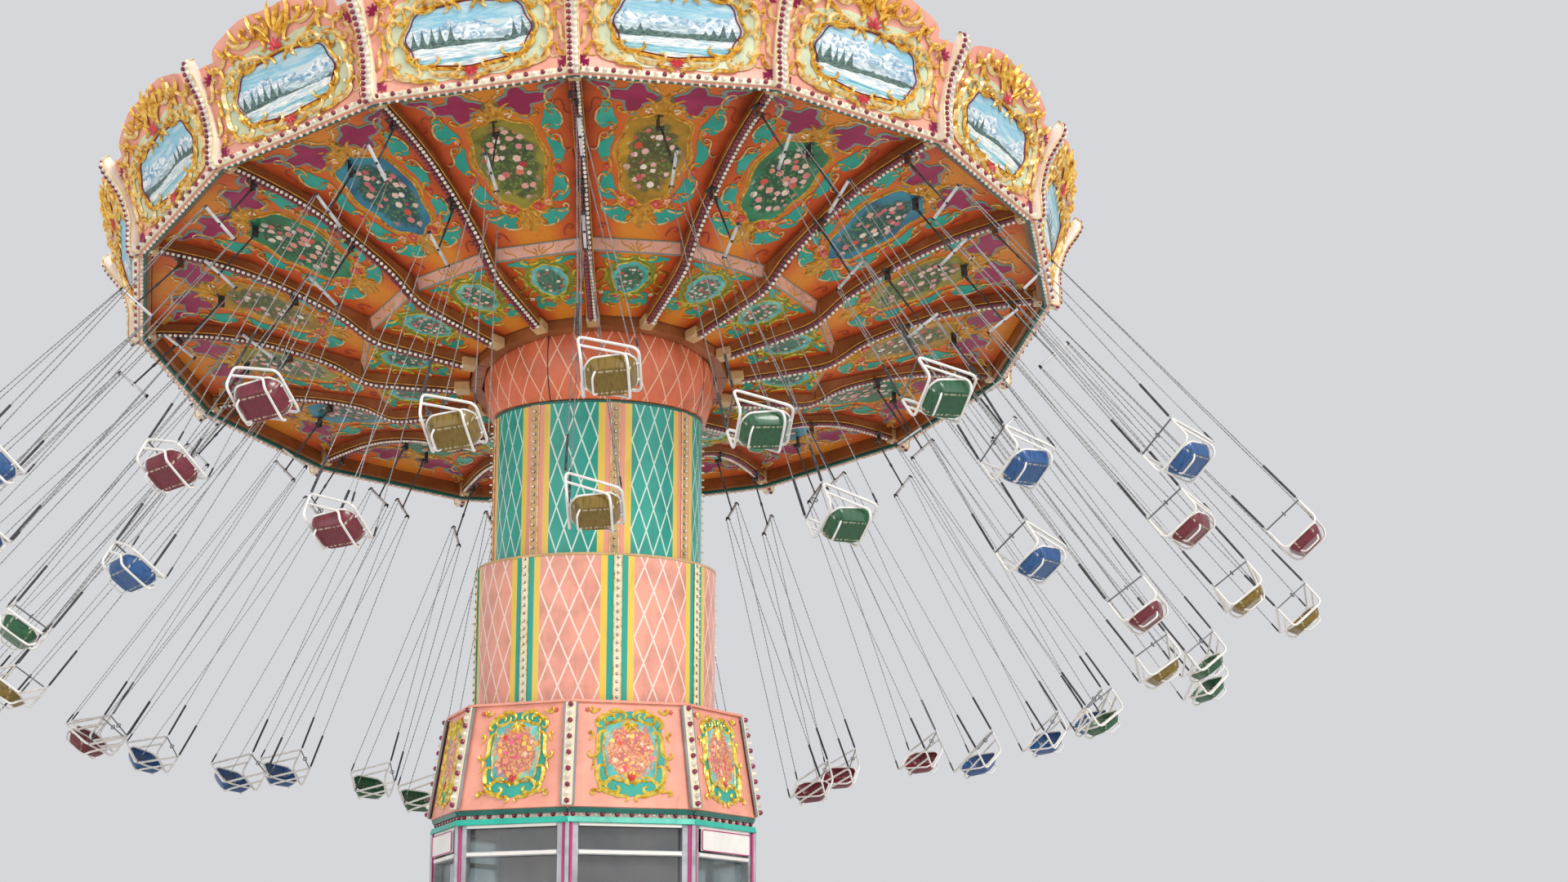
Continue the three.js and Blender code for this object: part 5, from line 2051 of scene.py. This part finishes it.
@dataclass(frozen=True)
class Skirt:
    """The dressing of the eight leaning boards over the booth: flower pictures, scroll frames and lamps.

    Attributes:
        picture: the flower picture in the middle of a board.
        infill: the teal field between the picture and its frame.
    """

    picture: Outline = Outline((0.0, 0.66), (0.315, 0.36), ((4, 0.02, 0.0), (8, 0.02, 0.4)), 5.0)
    infill: Outline = Outline((0.0, 0.63), (0.4, 0.49), ((4, 0.02, 0.78), (8, 0.02, 0.0)), 5.0)

    def design(self) -> Maker:
        """One board's picture and frame, laid onto its side."""
        board = Maker("skirt_board")
        board.add(patch(self.infill, 0.006, 0.01, 10), TEAL)
        picture = Blossoms("skirt_blossoms", 0.66, (0.37, 0.41), Ground.TURQUOISE, 0.08,
                           ("e0263f", "f5689a", "ffd95a", "f04a30", "f9d0b8"), ("ffd84a", "f08038", "cf3f3a"))
        board.add(patch(self.picture, 0.014, 0.012, 10), picture)
        ring = Lines()
        ring.draw(self.picture.loop(48), 0.013, closed=True)
        board.line(ring, GOLD, 0.8, 0.016)
        gold = Carving()
        gold.scrolls(
            (S_SCROLL, (0.385, 0.72), -88, 0.56, 0.028), (C_SCROLL, (0.33, 1.06), -36, 0.4, 0.03, -1),
            (C_SCROLL, (0.14, 1.14), 6, 0.34, 0.026, -1), (C_SCROLL, (0.2, 0.99), -14, 0.34, 0.022),
            (C_SCROLL, (0.4, 0.36), -100, 0.38, 0.03, -1), (C_SCROLL, (0.27, 0.17), -168, 0.42, 0.03, -1),
            (C_SCROLL, (0.24, 0.33), 150, 0.34, 0.024), (S_SCROLL, (0.12, 0.13), 176, 0.3, 0.022),
            (HOOK, (0.44, 1.12), 24, 0.2, 0.018), (HOOK, (0.46, 0.19), -34, 0.2, 0.018, -1),
            (HOOK, (0.445, 0.86), 70, 0.18, 0.014, -1), (LEAF, (0.44, 0.5), -76, 0.18, 0.016),
        )
        gold.shell((0.0, 1.02), -90, 0.15, 0.022, 5, 110)
        gold.shell((0.0, 0.26), 90, 0.19, 0.024, 5, 120)
        gold.onto(board, SCROLL_YELLOW, 0.75, 0.018)
        fan = Carving(12)
        fan.shell((0.0, 0.3), 90, 0.1, 0.014, 5, 90)
        fan.onto(board, RED_PETAL, 0.7, 0.034)
        for x in (-0.5, 0.5):
            flower(board, (x, 1.14), 0.026, 0.01, RED_PETAL, OCHRE)
        board.lay(SKIRT)
        return board

    def corner(self) -> Maker:
        """The lamp strip that covers one corner, at azimuth 0."""
        strip = Maker("corner_strip")
        (r0, z0), (r1, z1) = SKIRT.profile
        line = [Vector((0, -r0 - 0.012, z0 + 0.01)), Vector((0, -r1 - 0.012, z1 - 0.01))]
        lean = math.atan2(r0 - r1, z1 - z0)
        length = (line[1] - line[0]).length
        place = Matrix.Translation((line[0] + line[1]) / 2) @ Matrix.Rotation(-lean, 4, "X")
        strip.add(box((0.17, 0.03, length), (0, 0, 0), 0.006), PLATE_GREY, place)
        strip.add(box((0.12, 0.03, length + 0.01), (0, -0.012, 0), 0.006), STRIP_CREAM, place)
        face = [point + Vector((0, -0.027, 0)) for point in line]
        lamp_row(strip, face, OUT, 0.095, (LAMP_MAROON, LAMP_CLEAR), 0.034, 0.05)
        return strip

    def cornice(self) -> Maker:
        """The bands and lamps under one board, at the side's azimuth 0."""
        side = Maker("cornice")
        # the upper band's deep teal is partly its own darker paint and partly painted shade
        bands = ((3.915, 1.985, 1.962, 0.07, TURQUOISE), (4.035, 1.948, 1.975, 0.06, DEEP_TEAL))
        for z, low, high, rise, finish in bands:
            facets = Facets(BOOTH_SIDES, BOOTH_PHASE, ((low, z - rise / 2), (high, z + rise / 2)))
            half = low * facets.flat * math.tan(math.pi / BOOTH_SIDES)
            board = Maker("band")
            board.add(box((2 * half, rise, 0.02), (0, rise / 2, 0.012), 0.004), finish)
            board.lay(facets)
            side.copy(board, [Matrix()])
        radius, z, pitch = 1.905, 3.983, 0.1744
        y = -radius * SKIRT.flat
        half = radius * math.sin(math.pi / BOOTH_SIDES)
        side.add(box((2 * half, 0.026, 0.055), (0, y - 0.008, z), 0.004), CREAM)
        run = straight(half, y - 0.021, z)
        lamp_row(side, run, OUT, pitch, (LAMP_MAROON,), 0.03, 0.042, 0.05)
        lamp_row(side, run, OUT, pitch, (LAMP_CLEAR,), 0.018, 0.03, 0.05 + pitch / 2)
        return side

    def build(self) -> None:
        """Makes the dressing of all boards, over the boards themselves."""
        boards = Maker("skirt_dressing")
        boards.copy(self.design(), SKIRT.turns(Matrix()), [(3 * i) % 4 for i in range(BOOTH_SIDES)])
        boards.copy(self.corner(), SKIRT.turns(Matrix(), 0.0))
        boards.copy(self.cornice(), SKIRT.turns(Matrix()))
        cap = lathe([(1.80, 5.287), (1.835, 5.287), (1.835, 5.315), (1.69, 5.322), (1.69, 5.3),
                     (1.762, 5.29)], BOOTH_SIDES, BOOTH_PHASE)
        boards.add(cap, PINK, crease=20.0)
        boards.finish("base", "pink_boards")


@dataclass(frozen=True)
class Booth:
    """The dressing of the glazed booth: edged posts, rails, sill panels, blank sign boards and plinth trim.

    Attributes:
        sill: the height of the window sill.
        lintel: the height of the window head.
        door: the number of the side with the doorway.
        signs: the numbers of the sides with a white sign board.
    """

    sill: float = 1.5
    lintel: float = 3.52
    door: int = 4
    signs: tuple[int, ...] = (1, 3, 6)

    @property
    def flat(self) -> float:
        """How far a side is from the middle."""
        return BOOTH_RADIUS * SKIRT.flat

    @property
    def half(self) -> float:
        """Half of a side's width."""
        return BOOTH_RADIUS * math.sin(math.pi / BOOTH_SIDES)

    def post(self) -> Maker:
        """The dressing of one corner post, at azimuth 0."""
        post = Maker("post")
        bar = Lines(2)
        bar.draw([Vector((0, -BOOTH_RADIUS - 0.004, z)) for z in (0.61, 3.885)], 0.03)
        post.line(bar, SILVER)
        for side in (-1, 1):
            turn = Matrix.Rotation(side * math.pi / BOOTH_SIDES, 4, "Z")
            edge = box((0.03, 0.016, 3.27), (side * 0.045, -self.flat - 0.012, 2.245), 0.004)
            shift = Matrix.Translation((side * -self.half, 0, 0))
            post.add(edge, MAGENTA_EDGE, turn @ shift)
        return post

    def side(self, number: int) -> Maker:
        """The dressing of one side at azimuth 0.

        Args:
            number: the number of the side.
        Returns:
            The side.
        """
        side = Maker("side")
        y = -self.flat
        wide = 2 * (self.half - 0.14)
        for z, rise in ((self.lintel + 0.03, 0.04), (3.865, 0.036)):
            side.add(box((wide, 0.022, rise), (0, y - 0.006, z), 0.004), SIGN_WHITE)
        if number != self.door:
            self.panel(side, wide)
        if number in self.signs:
            side.add(box((wide - 0.04, 0.03, 0.25), (0, y - 0.022, 3.72), 0.006), SIGN_WHITE)
            side.line(self.border(wide / 2 - 0.02, y - 0.038, (3.6, 3.84), (0.03, 3), 0.007), MAGENTA_EDGE)
        plinth = -2.0 * SKIRT.flat
        side.add(box((2 * self.half - 0.02, 0.03, 0.05), (0, plinth - 0.006, 0.565), 0.006), SILVER)
        for x in (-0.37, 0.0, 0.37):
            side.add(box((0.33, 0.018, 0.4), (x, plinth - 0.004, 0.29), 0.006), PLATE_GREY)
        return side

    @staticmethod
    def border(reach: float, y: float, heights: Pair, corner: tuple[float, int],
               radius: float) -> Lines:
        """A rounded border on a flat side.

        Args:
            reach: half of its width.
            y: how far out it lies.
            heights: its foot and its top.
            corner: how far its corners are rounded, and in how many steps.
            radius: the radius of its line.
        Returns:
            The line.
        """
        low, high = heights
        corners = ((-reach, y, low), (reach, y, low), (reach, y, high), (-reach, y, high))
        line = Lines()
        line.draw(rounded(corners, *corner, True), radius, closed=True)
        return line

    def panel(self, side: Maker, wide: float) -> None:
        """Adds the sill rail and the framed panel under a window.

        Args:
            side: the side.
            wide: the width of its window.
        """
        y = -self.flat
        side.add(box((wide + 0.03, 0.05, 0.04), (0, y - 0.012, self.sill + 0.01), 0.006), SILVER)
        rail = Lines(1)
        rail_height = 2.45
        rail.draw(straight(wide / 2, y - 0.05, rail_height), 0.018)
        for x in (-wide / 2 + 0.06, wide / 2 - 0.06):
            rail.draw([Vector((x, y + out, rail_height)) for out in (-0.05, 0.02)], 0.01)
        side.line(rail, WHITE_TUBE)
        side.add(box((wide - 0.06, 0.016, 0.62), (0, y - 0.006, 1.1), 0.006), PINK)
        side.line(self.border(wide / 2 - 0.09, y - 0.018, (0.85, 1.35), (0.08, 4), 0.011), GOLD)
        stroke = Carving(14)
        stroke.scroll(C_SCROLL, (0.2, 1.1), 80, 0.5, 0.014)
        stroke.shell((0.0, 1.0), 90, 0.2, 0.018, 5, 120)
        stand = Matrix(((1, 0, 0, 0), (0, 0, -1, y - 0.016), (0, 1, 0, 0), (0, 0, 0, 1)))
        side.add(stroke.lines.shape(0.6), GOLD, stand, crease=LINE_CREASE)

    def build(self) -> None:
        """Makes the dressing of the booth."""
        booth = Maker("booth_dressing")
        booth.copy(self.post(), SKIRT.turns(Matrix(), 0.0))
        for number, place in enumerate(SKIRT.turns(Matrix())):
            booth.copy(self.side(number), [place])
        booth.finish("base", "booth_metal")


@dataclass(frozen=True)
class Chair:
    """A hanging chair of bent tube with a sheet seat, on a rod, a spreader and four chains.

    It is drawn about its hinge: X is the way it flies, Y outwards and Z up. Heights are below the hinge, or
    above the seat where a method says so.

    Attributes:
        rod: the length of the rod.
        hang: how far the seat is below the hinge.
        half: half of the chair's width, to the middle of its side tubes.
        tube: the radius of the side tubes.
        link: the pitch of the chain links.
        bowl: the corners of one half of the seat bowl's rim, along and across.
    """

    rod: float = 0.78
    hang: float = 5.4
    half: float = 0.247
    tube: float = 0.0155
    link: float = 0.06
    bowl: tuple[Pair, ...] = ((0.2, 0.12), (0.13, 0.205), (-0.2, 0.21), (-0.29, 0.13))

    def seat(self, x: float, y: float, z: float) -> Vector:
        """A point from its height above the seat."""
        return Vector((x, y, z - self.hang))

    def both(self, *points: tuple[float, float, float]) -> list[Vector]:
        """Points on one side of the seat, and then back along its other side."""
        return [self.seat(*point) for point in (*points, *((x, -y, z) for x, y, z in reversed(points)))]

    def tubes(self, chair: Maker) -> None:
        """Adds the hoop with its arm rails, the rails under the bowl, the bowl's rim and the lap bar.

        Args:
            chair: the chair.
        """
        h = self.half
        tubes = Lines(1)
        hoop = self.both((-0.316, h, 0.105), (0.24, h, 0.388), (0.228, h, 0.06))
        tubes.draw(rounded(hoop, 0.075, 4, True), self.tube, closed=True)
        cradle = self.both((0.234, h, 0.245), (-0.19, h, 0.03), (-0.2, h - 0.05, -0.056))
        tubes.draw(rounded(cradle, 0.05, 3), self.tube * 0.9)
        runner = self.both((0.1, -0.13, -0.03), (0.14, -0.1, -0.1))
        tubes.draw(rounded(runner, 0.05, 3), self.tube * 0.7)
        tubes.draw(self.level(0.0), self.tube * 0.8, closed=True)
        for x in (0.215, -0.3):
            for y in (-0.09, 0.09):
                end = self.seat(1.04 * x, y, 0.06 if x > 0 else 0.103)
                tubes.draw([self.seat(0.92 * x, y, 0.08), end], 0.012)
        chair.add(tubes.shape(), WHITE_TUBE, crease=TUBE_CREASE)
        bar = Lines(1)
        x, z, reach = 0.236, 0.366, 0.03
        bar.draw([self.seat(x, -h, z), self.seat(x, h, z)], 0.009)
        ring = [self.seat(x + reach * math.sin(a), 0.02, z + reach * math.cos(a))
                for a in (i * math.pi / 5 for i in range(10))]
        bar.draw(ring, 0.006, closed=True)
        chair.add(bar.shape(), STEEL, crease=TUBE_CREASE)

    def level(self, depth: float) -> list[Vector]:
        """Draws the bowl's outline.

        Args:
            depth: how deep, from its rim at 0 to its bottom at 1.
        Returns:
            The outline.
        """
        size = 1 - 0.26 * depth ** 1.6
        ring = []
        for x, y in self.bowl + tuple((x, -y) for x, y in reversed(self.bowl)):
            rim = 0.066 + (0.226 - x) * 0.07
            ring.append(self.seat(-0.03 + (x + 0.03) * size, y * size, rim - (rim + 0.047) * depth))
        return rounded(ring, 0.035, 3, True)

    def shell(self, chair: Maker, finish: Finish) -> None:
        """Adds the bowl, a sheet with chamfered corners and a flat bottom.

        Args:
            chair: the chair.
            finish: the sheet's finish.
        """
        rings = [self.level(depth) for depth in (0.0, 0.3, 0.62, 0.88, 1.0)]
        count = len(rings[0])
        rings.append([self.seat(-0.03, 0.0, -0.05)] * count)
        sheet = bmesh.new()
        bmesh.ops.create_grid(sheet, x_segments=count, y_segments=len(rings) - 1, size=1.0)
        for vert in sheet.verts:
            column = round((vert.co.x + 1) / 2 * count) % count
            vert.co = rings[round((vert.co.y + 1) / 2 * (len(rings) - 1))][column]
        bmesh.ops.remove_doubles(sheet, verts=sheet.verts[:], dist=0.0001)
        outwards(sheet)
        layer = sheet.loops.layers.uv.new(PAINT_UV)
        for face in sheet.faces:
            for loop in face.loops:
                loop[layer].uv = (loop.vert.co.y, loop.vert.co.x)
        bmesh.ops.solidify(sheet, geom=sheet.faces[:], thickness=0.008)
        chair.add(sheet, finish, crease=32.0)

    def chain(self, lines: Lines, top: Vector, foot: Vector) -> None:
        """Adds a chain as a line that swells at every link.

        Args:
            lines: what it is added to.
            top: its upper end.
            foot: its lower end.
        """
        count = 2 * round((foot - top).length / self.link)
        points = [top.lerp(foot, number / count) for number in range(count + 1)]
        lines.draw(points, [0.0042 if number % 2 else 0.0078 for number in range(count + 1)])

    def hanging(self, chair: Maker) -> None:
        """Adds the rod, the spreader with its hooks, the chains and the black sleeves.

        Args:
            chair: the chair.
        """
        rod = Lines(1)
        rod.draw([Vector((0, 0, -0.03)), Vector((0, 0, -self.rod + 0.01))], 0.012)
        for z in (-0.05, -0.40, -self.rod + 0.03):
            rod.draw([Vector((0, 0, z)), Vector((0, 0, z - 0.05))], 0.018)
        chair.add(rod.shape(), BLACK, crease=TUBE_CREASE)
        chair.add(box((0.034, 2 * self.half - 0.02, 0.03), (0, 0, -self.rod), 0.006), PALE_STEEL)
        links, sleeves, hooks = Lines(), Lines(1), Lines(1)
        for side in (-1, 1):
            y = side * self.half
            bow = ((-0.03, -0.03), (-0.014, 0.014), (0.014, 0.014), (0.03, -0.03))
            hooks.draw([Vector((x, y, -self.rod + z)) for x, z in bow], 0.01)
            hooks.draw([Vector((0, y * 0.94, -self.rod)), Vector((0, y, -self.rod))], 0.019)
            front, back = self.seat(0.236, y, 0.385), self.seat(-0.312, y, 0.112)
            for foot, x in ((front, 0.022), (back, -0.022)):
                top = Vector((x, y, -self.rod - 0.02))
                self.chain(links, top, foot)
                grip = foot.lerp(top, 0.03 / (foot - top).length)
                upper = foot.lerp(top, (0.56 if x > 0 else 0.16) / (foot - top).length)
                sleeves.draw([grip, upper], 0.0145 if x > 0 else 0.011)
        chair.add(links.shape(), CHAIN, crease=TUBE_CREASE)
        chair.add(sleeves.shape(), SLEEVE, crease=TUBE_CREASE)
        chair.add(hooks.shape(), BLACK, crease=TUBE_CREASE)

    def design(self, finish: Finish) -> Maker:
        """One chair in a seat finish.

        Args:
            finish: the seat's finish.
        Returns:
            The chair.
        """
        chair = Maker("chair")
        self.tubes(chair)
        self.shell(chair, finish)
        self.hanging(chair)
        return chair

    def knuckle(self) -> Maker:
        """The joint at the top of the rod, with X along the hinge axis."""
        knuckle = Maker("knuckle")
        eye = bmesh.new()
        bmesh.ops.create_cone(eye, cap_ends=True, segments=12, radius1=0.026, radius2=0.026, depth=0.058,
                              matrix=Matrix.Rotation(math.pi / 2, 4, "Y"))
        knuckle.add(eye, BLACK)
        return knuckle


class SeatColour(Enum):
    """The colours of the seats, with their material slots."""

    OLIVE = ("seat_olive", "80661c")
    GREEN = ("seat_green", "1d5a36")
    BLUE = ("seat_blue", "1f5590")
    RED = ("seat_red", "741d2e")


@dataclass(frozen=True)
class Chairs:
    """The three rings of sixteen chairs, each chair a piece on a body of its own."""

    rings: tuple[str, ...] = ("outer", "middle", "inner")

    def build(self) -> None:
        """Makes the 48 chairs in four colours."""
        chair = Chair()
        designs = {colour: chair.design(SeatShell(colour.value[0] + "_sheet", colour.value[1]))
                   for colour in SeatColour}
        knuckle = chair.knuckle()
        for ring in self.rings:
            for number in range(CROWN_SIDES):
                node = f"chair_{ring}_{number + 1:02d}"
                colour = list(SeatColour)[(number + (ring == "middle")) % 4]
                self.one(node, colour, designs[colour], knuckle)
        for design in (*designs.values(), knuckle):
            design.bm.free()

    @staticmethod
    def one(node: str, colour: SeatColour, design: Maker, knuckle: Maker) -> None:
        """Makes one chair.

        Args:
            node: the node that it stands for, and its body.
            colour: its seat colour.
            design: the chair in that colour.
            knuckle: its joint.
        """
        piece = Maker(f"{node}_dressed")
        flight = CROWN.flight(node)
        _, axis, azimuth = CROWN.hinge(node)
        piece.copy(design, [flight @ Matrix.Rotation(azimuth + math.pi, 4, "Z")])
        piece.copy(knuckle, [flight @ beside_hinge(Vector(), axis)])
        piece.finish(node, colour.value[0], node)


@dataclass(frozen=True)
class Studio:
    """The floor, the light and the camera of the photograph.

    Attributes:
        eye: where the camera stands.
        pitch: how far it looks up, in degrees.
        heading: how far it is turned, in degrees.
        lens: its focal length, in millimetres.
    """

    eye: tuple[float, float, float] = (0.0, -32.906, 1.6)
    pitch: float = 12.327
    heading: float = -4.055
    lens: float = 61.49

    def floor(self) -> None:
        """Lays a plain pale floor."""
        disc = bmesh.new()
        bmesh.ops.create_circle(disc, cap_ends=True, segments=96, radius=90.0)
        mesh = bpy.data.meshes.new("studio_floor")
        disc.to_mesh(mesh)
        disc.free()
        paint = Paint("studio_floor_paint", "dcdad6", fade=0.02, dirt=0.02, gloss=0.7)
        mesh.materials.append(paint.material())
        floor = bpy.data.objects.new("studio_floor", mesh)
        bpy.context.scene.collection.objects.link(floor)

    def light(self) -> None:
        """Lights the ride with a pale sky, a soft sun and two low, very soft fill suns."""
        world = bpy.data.worlds.new("studio")
        world.use_nodes = True
        sky = world.node_tree.nodes["Background"]
        sky.inputs["Color"].default_value = (0.93, 0.94, 0.97, 1.0)
        sky.inputs["Strength"].default_value = 0.72
        bpy.context.scene.world = world
        suns = (("sun", 1.5, 14, (12, -22, 22)), ("left", 0.7, 50, (-20, -22, 6)),
                ("right", 0.6, 50, (22, -18, 5)))
        for name, energy, angle, spot in suns:
            lamp = bpy.data.lights.new(name, "SUN")
            lamp.energy = energy
            lamp.angle = math.radians(angle)
            lamp.color = (1.0, 0.97, 0.93)
            carrier = bpy.data.objects.new(name, lamp)
            carrier.rotation_euler = Vector(spot).to_track_quat("Z", "Y").to_euler()
            bpy.context.scene.collection.objects.link(carrier)

    def camera(self) -> None:
        """Sets the camera where the photograph was taken."""
        lens = bpy.data.cameras.new("camera")
        lens.sensor_width = 36.0
        lens.lens = self.lens
        lens.clip_end = 500.0
        camera = bpy.data.objects.new("camera", lens)
        camera.location = self.eye
        camera.rotation_euler = (math.radians(90 + self.pitch), 0.0, math.radians(self.heading))
        bpy.context.scene.collection.objects.link(camera)
        bpy.context.scene.camera = camera

    def build(self) -> None:
        """Sets up floor, light and camera."""
        self.floor()
        self.light()
        self.camera()
        bpy.context.scene.view_settings.view_transform = "Standard"


TEAL_MAST = Mast(
    "teal_mast", "inner_mast", "teal_mast", 1.295, 6.750, 9.008, True,
    Lattice("teal_mast_lattice", "22a594", "dcefe4", 1.295, (0.2, 0.55), 8, math.radians(9), 0.012,
            ((0.123, "ee9f89"), (0.205, "ecc955"))),
    TAN_STRIP, 0.045, (LAMP_DARK,))
PINK_MAST = Mast(
    "pink_mast", "outer_mast", "pink_mast", 1.475, 4.350, 7.105, False,
    Lattice("pink_mast_lattice", "efa590", "fbe8dc", 1.475, (0.25, 0.58), 8, math.radians(10), 0.013,
            ((0.125, "22a594"), (0.205, "ecc955"))),
    STRIP_CREAM, 0.038, (LAMP_DARK,), 5.8, math.radians(9))


def dress_nodes() -> None:
    """Gives the nodes that are shown as they are their finishes."""
    finishes = {
        "pedestal": MAROON, "booth_frame": SILVER, "booth_glass": WINDOW, "skirt_boards": PINK,
        "tilt_table": STEEL, "crown_frame": FRAME_BROWN,
    }
    for name, finish in finishes.items():
        node = frame["nodes"][name]
        for place in node.material_slots:
            place.material = finish.material()
        for face in node.data.polygons:
            face.use_smooth = False
        LOG.info("%s keeps its own shape, in %s", name, finish.name)


def main() -> None:
    """Dresses the frame, builds every piece and sets up the studio."""
    logging.basicConfig(level=logging.INFO, format="%(message)s")
    dress_nodes()
    for part in (Ceiling(), Ribs(), PictureBoards(), Roof(), MastHead(), TEAL_MAST, PINK_MAST, Skirt(),
                 Booth(), Chairs(), Studio()):
        part.build()


if __name__ == "__main__":
    main()
